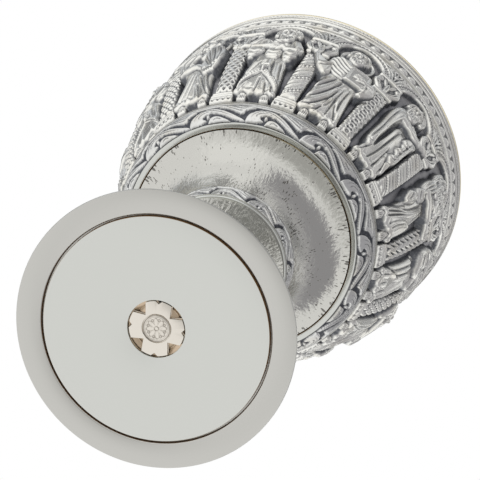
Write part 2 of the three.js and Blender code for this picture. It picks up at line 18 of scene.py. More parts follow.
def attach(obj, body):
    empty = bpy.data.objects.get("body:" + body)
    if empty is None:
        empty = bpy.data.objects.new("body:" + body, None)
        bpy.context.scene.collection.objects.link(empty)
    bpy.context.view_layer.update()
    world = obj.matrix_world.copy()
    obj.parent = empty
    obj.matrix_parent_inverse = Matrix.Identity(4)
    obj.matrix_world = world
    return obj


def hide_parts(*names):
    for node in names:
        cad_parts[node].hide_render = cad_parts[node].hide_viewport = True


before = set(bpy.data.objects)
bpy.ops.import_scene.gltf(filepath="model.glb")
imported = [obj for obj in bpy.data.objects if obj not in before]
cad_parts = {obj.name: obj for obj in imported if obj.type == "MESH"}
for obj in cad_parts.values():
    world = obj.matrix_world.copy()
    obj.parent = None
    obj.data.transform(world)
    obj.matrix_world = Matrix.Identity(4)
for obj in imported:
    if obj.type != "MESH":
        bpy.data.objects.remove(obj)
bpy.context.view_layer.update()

log = logging.getLogger("chalice")

MM = 0.001
# Depth in mm at which the ground and the back of a relief lie, inside the wall.
BURIED = -0.7
Points = Sequence[tuple[float, float]]


# Materials


def linear(colour: str) -> tuple[float, float, float, float]:
    """Turns an sRGB hex colour into the linear one that shaders take.

    Args:
        colour: Six hex digits with a leading hash.

    Returns:
        Linear red, green and blue, and an alpha of 1.
    """
    parts = [int(colour[i : i + 2], 16) / 255 for i in (1, 3, 5)]
    return (*[c / 12.92 if c <= 0.04045 else ((c + 0.055) / 1.055) ** 2.4 for c in parts], 1.0)


def add_node(
    tree: bpy.types.NodeTree, kind: str, inputs: dict | None = None, **settings: object
) -> bpy.types.Node:
    """Adds a node, sets its properties, and sets or links its inputs.

    Args:
        tree: Node tree that gets the node.
        kind: The node's type name.
        inputs: For each input's name or index, an output socket or a plain value.
        **settings: Properties of the node itself.

    Returns:
        The new node.
    """
    node = tree.nodes.new(kind)
    for key, value in settings.items():
        setattr(node, key, value)
    for key, value in (inputs or {}).items():
        if isinstance(value, bpy.types.NodeSocket):
            tree.links.new(value, node.inputs[key])
        else:
            node.inputs[key].default_value = value
    return node


class Grain(Enum):
    """Texture that makes a layer of fine relief."""

    NOISE = "noise"
    DENTS = "dents"


@dataclass(frozen=True)
class Bump:
    """One layer of fine relief in a finish.

    Attributes:
        grain: Texture that makes it.
        size: Size of one grain, dent or nick in mm.
        height: Height in mm.
        stretch: Factors on the pattern's three coordinates.
        turned: Whether those are radius, height and azimuth instead of x, y and z.
    """

    grain: Grain
    size: float
    height: float
    stretch: tuple[float, float, float] = (1.0, 1.0, 1.0)
    turned: bool = False


@dataclass(frozen=True)
class Finish:
    """A metal finish: colour, gloss, and the layers of fine relief over it.

    Attributes:
        name: The metal and how its surface was made.
        colour: Colour as sRGB hex.
        roughness: Roughness of the polished parts.
        metallic: How far it is bare metal.
        bumps: Layers of fine relief, coarsest first.
        dark: Colour of oxide and painted shade in the recesses, where the piece has the recess attribute.
        dark_roughness: Roughness in the recesses.
        nick: Colour of small dark nicks, on hammered work.
        nick_edge: Radius in mm of an edge that they crowd at, or 0.
        stain: Colour of a faint tarnish that shows in patches.
        stain_share: How strong that tarnish is.
    """

    name: str
    colour: str
    roughness: float
    metallic: float = 1.0
    bumps: tuple[Bump, ...] = ()
    dark: str = ""
    dark_roughness: float = 0.5
    nick: str = ""
    nick_edge: float = 0.0
    stain: str = ""
    stain_share: float = 0.0

    def build(self) -> bpy.types.Material:
        """Returns the finish as a material, made once and then shared."""
        known = bpy.data.materials.get(self.name)
        if known:
            return known
        material = bpy.data.materials.new(self.name)
        material.use_nodes = True
        tree = material.node_tree
        shader = tree.nodes["Principled BSDF"]
        shader.inputs["Base Color"].default_value = linear(self.colour)
        shader.inputs["Roughness"].default_value = self.roughness
        shader.inputs["Metallic"].default_value = self.metallic
        place = add_node(tree, "ShaderNodeTexCoord").outputs["Object"]
        colour = nicks = None
        # Scales count per metre: 110 makes patches of 9 mm, 900 makes grains of 1.1 mm.
        if self.stain:
            patches = add_node(tree, "ShaderNodeTexNoise", {"Vector": place, "Scale": 110.0, "Detail": 4.0})
            share = self._range(tree, patches.outputs["Fac"], (0.5, 0.72), (0.0, self.stain_share))
            colour = self._mix(tree, share, linear(self.colour), linear(self.stain))
        if self.nick:
            nicks = self._nicks(tree, place)
            share = self._range(tree, nicks, (0.0, 1.0), (0.0, 0.8))
            colour = self._mix(tree, share, colour or linear(self.colour), linear(self.nick))
        if self.dark:
            # Oxide and painted shade in the recesses, from the recess attribute.
            recess = add_node(tree, "ShaderNodeAttribute", attribute_name="recess").outputs["Fac"]
            worn = add_node(tree, "ShaderNodeTexNoise", {"Vector": place, "Scale": 900.0, "Detail": 3.0})
            uneven = self._range(tree, worn.outputs["Fac"], (0.3, 0.7), (-0.12, 0.12))
            share = add_node(tree, "ShaderNodeMath", {0: recess, 1: uneven}, use_clamp=True).outputs[0]
            colour = self._mix(tree, share, colour or linear(self.colour), linear(self.dark))
            rough = self._range(tree, share, (0.0, 1.0), (self.roughness, self.dark_roughness))
            tree.links.new(rough, shader.inputs["Roughness"])
        if colour:
            tree.links.new(colour, shader.inputs["Base Color"])
        self._engrave(tree, shader, place, nicks)
        material.diffuse_color = linear(self.colour)
        return material

    @staticmethod
    def _mix(
        tree: bpy.types.NodeTree, share: bpy.types.NodeSocket, first: object, second: object
    ) -> bpy.types.NodeSocket:
        """Mixes two colours.

        Args:
            tree: The material's tree.
            share: Share of the second colour.
            first: Colour value or socket.
            second: Colour value or socket.

        Returns:
            The mixed colour.
        """
        inputs = {0: share, 6: first, 7: second}
        return add_node(tree, "ShaderNodeMix", inputs, data_type="RGBA").outputs[2]

    @staticmethod
    def _range(
        tree: bpy.types.NodeTree,
        value: bpy.types.NodeSocket,
        source: tuple[float, float],
        target: tuple[float, float],
    ) -> bpy.types.NodeSocket:
        """Maps a value from one range to another, held at its ends.

        Args:
            tree: The material's tree.
            value: Socket to map.
            source: Range that it comes in.
            target: Range that it goes to.

        Returns:
            The mapped value.
        """
        inputs = {"Value": value, 1: source[0], 2: source[1], 3: target[0], 4: target[1]}
        return add_node(tree, "ShaderNodeMapRange", inputs).outputs[0]

    @staticmethod
    def _turned(tree: bpy.types.NodeTree, place: bpy.types.NodeSocket) -> bpy.types.NodeSocket:
        """Turns Object coordinates into radius, height and arc length at a radius of 40 mm.

        Args:
            tree: The material's tree.
            place: Object coordinates.

        Returns:
            The three of them as a vector.
        """
        split = add_node(tree, "ShaderNodeSeparateXYZ", {0: place}).outputs
        flat = add_node(tree, "ShaderNodeCombineXYZ", {0: split["X"], 1: split["Y"]}).outputs[0]
        radius = add_node(tree, "ShaderNodeVectorMath", {0: flat}, operation="LENGTH").outputs["Value"]
        angle = add_node(
            tree, "ShaderNodeMath", {0: split["Y"], 1: split["X"]}, operation="ARCTAN2"
        ).outputs[0]
        arc = add_node(tree, "ShaderNodeMath", {0: angle, 1: 40 * MM}, operation="MULTIPLY").outputs[0]
        return add_node(tree, "ShaderNodeCombineXYZ", {0: radius, 1: split["Z"], 2: arc}).outputs[0]

    def _nicks(self, tree: bpy.types.NodeTree, place: bpy.types.NodeSocket) -> bpy.types.NodeSocket:
        """Small dark nicks that the hammer's edge left, longest and closest beside the edge of the sheet.

        Args:
            tree: The material's tree.
            place: Object coordinates.

        Returns:
            The share of dark at each place.
        """
        turned = self._turned(tree, place)
        radius = add_node(tree, "ShaderNodeSeparateXYZ", {0: turned}).outputs[0]
        zone = ((self.nick_edge - 2.6) * MM, (self.nick_edge - 0.6) * MM)
        edge = self._range(tree, radius, zone, (0.0, 0.16 if self.nick_edge else 0.0))
        crowd = add_node(tree, "ShaderNodeTexNoise", {"Vector": place, "Scale": 110.0, "Detail": 3.0})
        shares = []
        # Nicks of about 2 mm, then shorter ones of about 1.2 mm that come in crowds.
        for stretch, scale, few, many in (
            ((0.5, 0.5, 1.5), 520.0, 0.11, 0.19),
            ((0.42, 0.42, 1.4), 860.0, -0.16, 0.36),
        ):
            bent = add_node(tree, "ShaderNodeMapping", {0: turned, 3: stretch}).outputs[0]
            cells = add_node(
                tree, "ShaderNodeTexVoronoi", {"Vector": bent, "Scale": scale}
            ).outputs["Distance"]
            reach = self._range(tree, crowd.outputs["Fac"], (0.36, 0.68), (few, many))
            reach = add_node(tree, "ShaderNodeMath", {0: reach, 1: edge}, operation="ADD").outputs[0]
            gap = add_node(tree, "ShaderNodeMath", {0: reach, 1: cells}, operation="SUBTRACT").outputs[0]
            shares.append(self._range(tree, gap, (0.0, 0.07), (0.0, 1.0)))
        return add_node(tree, "ShaderNodeMath", {0: shares[0], 1: shares[1]}, operation="MAXIMUM").outputs[0]

    def _engrave(
        self,
        tree: bpy.types.NodeTree,
        shader: bpy.types.Node,
        place: bpy.types.NodeSocket,
        nicks: bpy.types.NodeSocket | None,
    ) -> None:
        """Chains the layers of fine relief into the shader's normal.

        Args:
            tree: The material's tree.
            shader: The principled shader.
            place: Object coordinates.
            nicks: Share of nick at each place, or None.
        """
        normal = None
        if nicks:
            inputs = {"Height": nicks, "Distance": 0.07 * MM, "Strength": 1.0}
            normal = add_node(tree, "ShaderNodeBump", inputs, invert=True).outputs["Normal"]
        for bump in self.bumps:
            source = self._turned(tree, place) if bump.turned else place
            scaled = add_node(tree, "ShaderNodeMapping", {0: source, 3: bump.stretch}).outputs[0]
            scale = 1 / (bump.size * MM)
            if bump.grain is Grain.NOISE:
                inputs = {"Vector": scaled, "Scale": scale, "Detail": 3.0}
                height = add_node(tree, "ShaderNodeTexNoise", inputs).outputs["Fac"]
            else:
                inputs = {"Vector": scaled, "Scale": scale}
                cells = add_node(
                    tree, "ShaderNodeTexVoronoi", inputs, feature="SMOOTH_F1"
                ).outputs["Distance"]
                height = add_node(tree, "ShaderNodeMath", {0: cells, 1: 2.0}, operation="POWER").outputs[0]
            inputs = {"Height": height, "Distance": bump.height * MM, "Strength": 1.0}
            if normal:
                inputs["Normal"] = normal
            normal = add_node(tree, "ShaderNodeBump", inputs).outputs["Normal"]
        if normal:
            tree.links.new(normal, shader.inputs["Normal"])


# Silver plate, lightly satin brushed round the axis: soft, with fine circles in the sheen.
SATIN = Finish(
    "Satin silver plate",
    "#C8C7C2",
    0.34,
    bumps=(Bump(Grain.NOISE, 0.35, 0.012, (1.0, 1.0, 0.02), turned=True),),
)
# Silver plate, mirror polished: crisp reflections, a faint waviness from the polishing mop.
POLISHED = Finish("Polished silver plate", "#CFD0CB", 0.14, bumps=(Bump(Grain.NOISE, 9.0, 0.02),))
# Silver plate over planished metal: shallow dents that break reflections, dark nicks.
HAMMERED = Finish(
    "Planished silver plate",
    "#CCCBC5",
    0.13,
    bumps=(
        Bump(Grain.DENTS, 4.2, 0.2),
        Bump(Grain.NOISE, 2.2, 0.2, (1.0, 1.0, 1.5), turned=True),
        Bump(Grain.NOISE, 0.9, 0.06),
    ),
    nick="#4C4843",
)
# The same on the bowl's flare, where the nicks crowd beside the plain ring.
PLANISHED = replace(HAMMERED, name="Planished silver plate of the bowl", nick_edge=42.35)
# Cast and chased silver plate: bright on the raised work, blackened in the recesses by oxide and painted
# shade.
CHASED = Finish(
    "Chased silver with oxide and painted shade",
    "#F3F2EC",
    0.2,
    bumps=(Bump(Grain.NOISE, 0.5, 0.02),),
    dark="#686A6F",
    stain="#CDBB90",
    stain_share=0.18,
)
# The same, a little duller, on the leaf scrolls.
SCROLLED = replace(CHASED, name="Chased silver of the scrolls with oxide and painted shade", colour="#E0E0DD", dark="#54565C")
# Ground behind the figures: matt grey oxide, with painted shade beside the relief and under the arches, and
# darker towards its foot.
GROUND = Finish(
    "Oxidised silver ground with painted shade",
    "#ABAAAB",
    0.4,
    bumps=(Bump(Grain.NOISE, 0.6, 0.02),),
    dark="#5E6068",
    dark_roughness=0.6,
)
# Turned brass, unplated: warm, pale where it mirrors the room.
BRASS = Finish("Turned brass", "#D2BDA4", 0.3, bumps=(Bump(Grain.NOISE, 0.3, 0.01, (1, 1, 0.02), True),))
# Brass gone brown in the seam round the base plate.
TARNISHED = Finish("Tarnished brass", "#946C3A", 0.5, metallic=0.6)
# Gold plate over spun metal: pale and bright.
GILT = Finish("Pale gold plate", "#F4E8C4", 0.14, bumps=(Bump(Grain.NOISE, 6.0, 0.015),))
# Threaded steel rod, plain.
STEEL = Finish("Bright steel", "#B4B5B6", 0.3)
# Nut's plating, a little warmer than the plate round it.
NUT_SILVER = Finish("Warm silver plate", "#E2DCD2", 0.2, bumps=(Bump(Grain.NOISE, 0.8, 0.008),))
# Medallion's plating, with the rosette's hollows left slightly dull.
ROSETTE = Finish("Struck silver plate", "#E2DCD2", 0.22, dark="#766C60", dark_roughness=0.4)


# Meshes


def make_piece(
    name: str,
    vertices: np.ndarray,
    faces: np.ndarray,
    finish: Finish,
    recess: np.ndarray | None = None,
    sharp: float = 40.0,
) -> bpy.types.Object:
    """Makes an object at the origin from points in millimetres.

    Args:
        name: Piece name.
        vertices: Points, one row each, in mm.
        faces: Corner numbers, one row for each face. A row that repeats its last corner is a triangle.
        finish: Finish of the whole piece.
        recess: How dark each point is painted, for oxide and painted shade, 0 to 1.
        sharp: Angle in degrees past which an edge is sharp.

    Returns:
        The new object, with its faces pointing out.
    """
    corners = vertices[faces]
    first, second, third = corners[:, 0], corners[:, 1], corners[:, 2]
    last = corners[:, -1]
    volume = np.einsum("ij,ij->", first, np.cross(second, third) + np.cross(third, last))
    if volume < 0:
        faces = faces[:, ::-1]
    triangle = (faces[:, 2] == faces[:, 3]) | (faces[:, 0] == faces[:, 1])
    rows = [list(dict.fromkeys(row)) for row in faces[triangle].tolist()] + faces[~triangle].tolist()
    mesh = bpy.data.meshes.new(name)
    mesh.from_pydata((vertices * MM).tolist(), [], rows)
    mesh.shade_smooth()
    mesh.set_sharp_from_angle(angle=math.radians(sharp))
    if recess is not None:
        layer = mesh.attributes.new("recess", "FLOAT", "POINT")
        layer.data.foreach_set("value", np.clip(recess, 0, 1).astype(np.float32))
    mesh.materials.append(finish.build())
    piece = bpy.data.objects.new(name, mesh)
    bpy.context.scene.collection.objects.link(piece)
    return piece


def hand_over(piece: bpy.types.Object, body: str, nodes: Iterable[str]) -> bpy.types.Object:
    """Ties a finished piece to its body and the CAD nodes that it stands for.

    Args:
        piece: Finished piece.
        body: Body that it moves with.
        nodes: CAD nodes that it replaces.

    Returns:
        The same piece.
    """
    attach(piece, body)
    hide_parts(*nodes)
    log.info("%s: %d faces", piece.name, len(piece.data.polygons))
    return piece


def turn_round(profile: np.ndarray, segments: int) -> np.ndarray:
    """Carries the points of a section round the stem's axis.

    Args:
        profile: Points as (radius, height), one row each.
        segments: Steps round the axis.

    Returns:
        The points, with one row for each point of the section.
    """
    angles = np.arange(segments) * 2 * np.pi / segments
    radius, height = profile[:, 0], profile[:, 1]
    across = [np.outer(radius, np.cos(angles)), np.outer(radius, np.sin(angles))]
    return np.stack([*across, np.outer(height, np.ones(segments))], axis=-1)


def fan(ring: np.ndarray, turned: bool = False) -> np.ndarray:
    """Closes a ring of points with triangles from its first one.

    Args:
        ring: Point numbers in order.
        turned: Whether the triangles face the other way.

    Returns:
        The faces, one row each.
    """
    second, third = (ring[2:], ring[1:-1]) if turned else (ring[1:-1], ring[2:])
    return np.stack([np.full(len(ring) - 2, ring[0]), second, third, third], axis=1)


def rounded(corners: Points, radius: float, steps: int = 4) -> list[tuple[float, float]]:
    """Rounds the corners of a closed section.

    Args:
        corners: Corners as (radius, height), in order.
        radius: How far each rounding reaches along its edges, in mm.
        steps: Pieces in each rounding.

    Returns:
        The section's corners with roundings. Corners on the axis stay.
    """
    result: list[tuple[float, float]] = []
    count = len(corners)
    for i, here in enumerate(corners):
        before, after = corners[i - 1], corners[(i + 1) % count]
        if here[0] == 0 or (before[0] == 0 and after[0] == 0):
            result.append(here)
            continue
        reach_in = min(radius, math.dist(before, here) * 0.45)
        reach_out = min(radius, math.dist(after, here) * 0.45)
        start = [h + (b - h) * reach_in / math.dist(before, here) for h, b in zip(here, before)]
        end = [h + (a - h) * reach_out / math.dist(after, here) for h, a in zip(here, after)]
        for k in range(steps + 1):
            t = k / steps
            point = [s * (1 - t) ** 2 + 2 * h * t * (1 - t) + e * t * t for s, h, e in zip(start, here, end)]
            result.append((point[0], point[1]))
    return result


def bezier(points: Points, steps: int) -> list[tuple[float, float]]:
    """Points along a cubic Bezier curve from its four control points."""
    a, b, c, d = (np.array(p, float) for p in points)
    t = np.linspace(0, 1, steps + 1)[:, None]
    curve = a * (1 - t) ** 3 + 3 * b * t * (1 - t) ** 2 + 3 * c * t * t * (1 - t) + d * t**3
    return [tuple(p) for p in curve.tolist()]


def lathe(
    name: str, section: Points, finish: Finish, segments: int = 160, sharp: float = 40.0
) -> bpy.types.Object:
    """Turns a closed section about the stem's axis.

    Args:
        name: Piece name.
        section: Corners as (radius, height), in order. One that closes on the axis starts and ends there.
        finish: Finish of the piece.
        segments: Steps round the axis.
        sharp: Angle in degrees past which an edge is sharp.

    Returns:
        The closed ring or solid.
    """
    profile = np.array(section, float)
    count = len(profile)
    vertices = turn_round(profile, segments).reshape(-1, 3)
    pole = profile[:, 0] < 1e-9
    index = np.arange(count * segments).reshape(count, segments)
    index[pole] = index[pole][:, :1]
    quads = []
    for i in range(count):
        k = (i + 1) % count
        if pole[i] and pole[k]:
            continue
        here, there = index[i], index[k]
        quads.append(np.stack([here, np.roll(here, -1), np.roll(there, -1), there], axis=1))
    faces = np.concatenate(quads)
    used = np.unique(faces)
    renumber = np.zeros(len(vertices), int)
    renumber[used] = np.arange(len(used))
    faces = renumber[faces]
    same = faces[:, 0] == faces[:, 1]
    faces[same] = faces[same][:, [2, 3, 0, 0]]
    return make_piece(name, vertices[used], faces, finish, sharp=sharp)


# Chased relief


def spline(points: Points, closed: bool = False, density: int = 6) -> np.ndarray:
    """Samples a smooth curve through points.

    Args:
        points: Points that the curve passes.
        closed: Whether it returns to its start.
        density: Samples for each stretch between two points.

    Returns:
        The samples, one row each.
    """
    p = np.array(points, float)
    if len(p) < 3:
        return p
    ring = np.vstack([p[-1:], p, p[:2]]) if closed else np.vstack(
        [2 * p[:1] - p[1:2], p, 2 * p[-1:] - p[-2:-1]]
    )
    t = np.arange(density)[:, None] / density
    pieces = []
    for i in range(len(ring) - 3):
        a, b, c, d = ring[i : i + 4]
        pieces.append(
            0.5 * (2 * b + (c - a) * t + (2 * a - 5 * b + 4 * c - d) * t**2 + (3 * b - a - 3 * c + d) * t**3)
        )
    if not closed:
        pieces.append(p[-1:])
    return np.vstack(pieces)


def blur(grid: np.ndarray, reach: float, wrap: bool = False) -> np.ndarray:
    """Smooths a field with a bell curve.

    Args:
        grid: Values on a grid.
        reach: Spread of the bell in cells.
        wrap: Whether the columns close into a ring.

    Returns:
        The smoothed field.
    """
    if reach <= 0:
        return grid
    half = max(1, int(math.ceil(reach * 2.5)))
    bell = np.exp(-0.5 * (np.arange(-half, half + 1) / reach) ** 2)
    bell /= bell.sum()
    rows = np.pad(grid, ((half, half), (0, 0)), mode="edge")
    rows = sum(w * rows[i : i + grid.shape[0]] for i, w in enumerate(bell))
    columns = np.pad(rows, ((0, 0), (half, half)), mode="wrap" if wrap else "edge")
    return sum(w * columns[:, i : i + grid.shape[1]] for i, w in enumerate(bell))


@dataclass
class Relief:
    """Height field of chased work on a flattened patch, in mm: x along it, y up it, depth out of it.

    Attributes:
        left: Lowest x.
        right: Highest x.
        bottom: Lowest y.
        top: Highest y.
        cell: Size of a grid cell.
        ground: Depth that the patch starts with.
        wrap: Whether the right edge meets the left one.
        dark_below: Depth at which the painted oxide and shade near the ground start, and the depth from which
            they are at full strength.
        hollow: Depth in mm of a small hollow that stays wholly dark.
        x: The grid's x.
        y: The grid's y.
        depth: Depth at each place of the grid.
    """

    left: float
    right: float
    bottom: float
    top: float
    cell: float = 0.2
    ground: float = BURIED
    wrap: bool = False
    dark_below: tuple[float, float] = (0.9, 0.0)
    hollow: float = 0.22
    x: np.ndarray = field(init=False)
    y: np.ndarray = field(init=False)
    depth: np.ndarray = field(init=False)

    def __post_init__(self) -> None:
        """Lays out the grid."""
        columns = max(3, round((self.right - self.left) / self.cell)) + 1
        rows = max(3, round((self.top - self.bottom) / self.cell)) + 1
        self.x, self.y = np.meshgrid(
            np.linspace(self.left, self.right, columns), np.linspace(self.bottom, self.top, rows)
        )
        self.depth = np.full(self.x.shape, self.ground)

    def _window(self, curve: np.ndarray, margin: float) -> tuple[slice, slice]:
        """Rows and columns of the grid that lie within a margin of a curve."""
        low, high = curve.min(axis=0) - margin, curve.max(axis=0) + margin
        columns = np.searchsorted(self.x[0], [low[0], high[0]])
        rows = np.searchsorted(self.y[:, 0], [low[1], high[1]])
        return slice(rows[0], rows[1]), slice(columns[0], columns[1])

    @staticmethod
    def _nearest(
        x: np.ndarray, y: np.ndarray, curve: np.ndarray
    ) -> tuple[np.ndarray, np.ndarray, np.ndarray]:
        """Finds the nearest place on a polyline.

        Args:
            x: Grid of x.
            y: Grid of y.
            curve: Polyline, one point a row.

        Returns:
            Distance to it, place along it from 0 to 1, and side of it, 1 on the left and -1 on the right.
        """
        best = np.full(x.shape, 1e9)
        place = np.zeros(x.shape)
        side = np.ones(x.shape)
        lengths = np.hypot(*np.diff(curve, axis=0).T)
        total = max(lengths.sum(), 1e-9)
        run = 0.0
        for (ax, ay), (bx, by), length in zip(curve[:-1], curve[1:], lengths):
            if length < 1e-9:
                continue
            dx, dy = (bx - ax) / length, (by - ay) / length
            along = np.clip((x - ax) * dx + (y - ay) * dy, 0, length)
            away = np.hypot(x - ax - along * dx, y - ay - along * dy)
            closer = away < best
            best = np.where(closer, away, best)
            place = np.where(closer, (run + along) / total, place)
            side = np.where(closer, np.where(dx * (y - ay) - dy * (x - ax) >= 0, 1.0, -1.0), side)
            run += length
        return best, place, side

    def _inside(self, outline: Points, margin: float, smooth: bool) -> tuple[tuple[slice, slice], np.ndarray]:
        """Distance inside a closed outline, negative outside it, within a margin of it.

        Args:
            outline: Points of the outline.
            margin: How far outside it the grid is looked at.
            smooth: Whether a curve runs through the points.

        Returns:
            The part of the grid, and the distances there.
        """
        curve = spline(outline, closed=True) if smooth else np.array(outline, float)
        ring = np.vstack([curve, curve[:1]])
        window = self._window(ring, margin)
        x, y = self.x[window], self.y[window]
        away, _, _ = self._nearest(x, y, ring)
        within = np.zeros(x.shape, bool)
        for (ax, ay), (bx, by) in zip(ring[:-1], ring[1:]):
            if ay == by:
                continue
            crosses = ((ay > y) != (by > y)) & (x < (bx - ax) * (y - ay) / (by - ay) + ax)
            within ^= crosses
        return window, np.where(within, away, -away)

    def form(
        self, outline: Points, height: float, roundness: float, base: float = 0.6, smooth: bool = True
    ) -> "Relief":
        """Raises a closed shape with a rounded edge. Where forms meet, the taller one shows.

        Args:
            outline: Points round the shape.
            height: Rise of its middle above its edge.
            roundness: How far in from the edge it rounds over.
            base: Depth of its edge.
            smooth: Whether the outline is a curve through the points.

        Returns:
            This relief.
        """
        window, inside = self._inside(outline, 1.0, smooth)
        t = np.clip(inside / roundness, 0, 1)
        value = base + height * np.sqrt(1 - (1 - t) ** 2) + np.minimum(inside, 0) * 5
        self.depth[window] = np.maximum(self.depth[window], value)
        return self

    def layer(
        self, outline: Points, thickness: float, softness: float = 0.5, smooth: bool = True
    ) -> "Relief":
        """Adds a layer of cloth or trim over what is there.

        Args:
            outline: Points round the layer.
            thickness: How much it adds. A negative one sinks the shape.
            softness: Width over which its edge rises.
            smooth: Whether the outline is a curve through the points.

        Returns:
            This relief.
        """
        window, inside = self._inside(outline, softness, smooth)
        t = np.clip(inside / softness + 0.5, 0, 1)
        self.depth[window] += thickness * t * t * (3 - 2 * t)
        return self

    def limb(self, points: Points, radii: Sequence[float], reach: float, flat: float = 1.0) -> "Relief":
        """Lays a round bar along a curve.

        Args:
            points: Points along its middle.
            radii: Radii spread evenly along it.
            reach: Depth of its edges.
            flat: Share of the radius that it stands out.

        Returns:
            This relief.
        """
        curve = spline(points)
        window = self._window(curve, max(radii) + 1)
        away, place, _ = self._nearest(self.x[window], self.y[window], curve)
        radius = np.interp(place, np.linspace(0, 1, len(radii)), radii)
        bulge = np.sqrt(np.clip(radius**2 - away**2, 0, None)) * flat
        value = reach + bulge + np.minimum(radius - away, 0) * 5
        self.depth[window] = np.maximum(self.depth[window], value)
        return self

    def dome(
        self,
        centre: tuple[float, float],
        radii: tuple[float, float],
        height: float,
        base: float,
        tilt: float = 0.0,
        lean: float = 0.0,
    ) -> "Relief":
        """Raises a half ellipsoid.

        Args:
            centre: Its middle.
            radii: Half-widths across and up.
            height: Rise of its middle above its edge.
            base: Depth of its edge.
            tilt: Turn to the left in degrees.
            lean: How much further out each millimetre upwards lies.

        Returns:
            This relief.
        """
        corners = np.array([centre, centre], float)
        window = self._window(corners, max(radii) + 0.5)
        x, y = self.x[window] - centre[0], self.y[window] - centre[1]
        turn = math.radians(tilt)
        u = (x * math.cos(turn) + y * math.sin(turn)) / radii[0]
        v = (y * math.cos(turn) - x * math.sin(turn)) / radii[1]
        off = np.hypot(u, v)
        value = base + height * np.sqrt(
            np.clip(1 - off**2, 0, None)
        ) + np.minimum(1 - off, 0) * 5 * min(radii)
        value += lean * y
        self.depth[window] = np.maximum(self.depth[window], value)
        return self

    def fold(self, points: Points, reach: float, height: float, groove: float = 0.6) -> "Relief":
        """Lays a fold of cloth along a curve: it swells towards the curve on its left and drops at it.

        Args:
            points: Points along the fold's edge.
            reach: Width over which it swells.
            height: Height of the edge.
            groove: Depth of the crease beyond the edge, as a share of the height.

        Returns:
            This relief.
        """
        curve = spline(points)
        window = self._window(curve, reach)
        away, place, side = self._nearest(self.x[window], self.y[window], curve)
        taper = np.sqrt(np.clip(np.minimum(place / 0.2, (1 - place) / 0.12), 0, 1))
        swell = np.where(side > 0, np.clip(1 - away / reach, 0, 1) ** 1.7, np.exp(-((away / 0.3) ** 2)))
        crease = np.exp(-(((away - 0.7) / 0.42) ** 2)) * (side < 0)
        here = self.depth[window]
        self.depth[window] = here + np.where(here > 0.5, height * taper * (swell - groove * crease), 0)
        return self

    def folds(self, first: Points, last: Points, count: int, reach: float, height: float) -> "Relief":
        """Spreads folds evenly between two curves that have as many points as each other.

        Args:
            first: Points along the first fold.
            last: Points along the last one.
            count: How many folds there are, both of them included.
            reach: Width over which each swells.
            height: Height of each.

        Returns:
            This relief.
        """
        a, b = np.array(first, float), np.array(last, float)
        for i in range(count):
            t = i / max(count - 1, 1)
            self.fold(a * (1 - t) + b * t, reach, height)
        return self

    def stroke(
        self,
        points: Points,
        width: float,
        height: float,
        ends: tuple[float, float] = (0.25, 0.25),
        undercut: float = 0.0,
        only_above: float = -9.0,
    ) -> "Relief":
        """Adds a rounded ridge along a curve, or cuts a groove where the height is negative.

        Args:
            points: Points along it.
            width: Half-width at its widest.
            height: Height of its crest.
            ends: Shares of its length over which it tapers, at its start and its end.
            undercut: Depth of a groove beside it, on its right.
            only_above: Depth below which nothing is added.

        Returns:
            This relief.
        """
        curve = spline(points)
        window = self._window(curve, width * 3)
        away, place, side = self._nearest(self.x[window], self.y[window], curve)
        taper = np.ones(place.shape)
        if ends[0] > 0:
            taper = np.minimum(taper, np.sqrt(np.clip(place / ends[0], 0, 1)))
        if ends[1] > 0:
            taper = np.minimum(taper, np.sqrt(np.clip((1 - place) / ends[1], 0, 1)))
        reach = np.maximum(width * (0.35 + 0.65 * taper), 1e-3)
        crest = height * taper * np.clip(1 - (away / reach) ** 2, 0, None) ** 1.5
        if undercut:
            off = (away - reach * 1.25) / (reach * 0.6)
            crest = crest - np.where(side < 0, undercut * taper * np.exp(-(off**2)), 0)
        here = self.depth[window]
        self.depth[window] = here + np.where(here > only_above, crest, 0)
        return self

    def beads(self, points: Points, pitch: float, radius: float, height: float) -> "Relief":
        """Sets a row of beads along a curve, on top of what is there. A negative height drills holes.

        Args:
            points: Points along the row.
            pitch: Distance from bead to bead.
            radius: Radius of a bead.
            height: Height of a bead.

        Returns:
            This relief.
        """
        curve = spline(points)
        lengths = np.concatenate([[0], np.cumsum(np.hypot(*np.diff(curve, axis=0).T))])
        count = max(1, int(round(lengths[-1] / pitch)))
        for place in (np.arange(count) + 0.5) * lengths[-1] / count:
            centre = (np.interp(place, lengths, curve[:, 0]), np.interp(place, lengths, curve[:, 1]))
            window = self._window(np.array([centre]), radius * 1.2)
            off = np.hypot(self.x[window] - centre[0], self.y[window] - centre[1]) / radius
            self.depth[window] += height * np.sqrt(np.clip(1 - off**2, 0, None))
        return self

    def soften(self, reach: float, cliff: float = 0.34) -> "Relief":
        """Smooths the work slightly, as wear and polishing do.

        Args:
            reach: Reach of the smoothing in mm.
            cliff: Its reach at drops of more than a millimetre.

        Returns:
            This relief.
        """
        drop = self._above(self.depth, 0.4) + self._above(-self.depth, 0.4)
        share = blur(np.clip((drop - 1.0) / 0.7, 0, 1), 1.2, self.wrap)
        smooth = blur(self.depth, cliff / self.cell, self.wrap)
        self.depth = blur(self.depth + (smooth - self.depth) * share, reach / self.cell, self.wrap)
        return self

    def mirrored(self) -> "Relief":
        """Returns the same relief seen in a mirror."""
        twin = Relief(-self.right, -self.left, self.bottom, self.top, self.cell, self.ground, self.wrap)
        twin.depth = self.depth[:, ::-1].copy()
        twin.hollow, twin.dark_below = self.hollow, self.dark_below
        return twin

    def flattened(self, share: float) -> "Relief":
        """Returns the same relief with its raised work brought down to a share of its depth."""
        twin = self.mirrored().mirrored()
        twin.depth = np.where(self.depth > 0, self.depth * share, self.depth)
        return twin

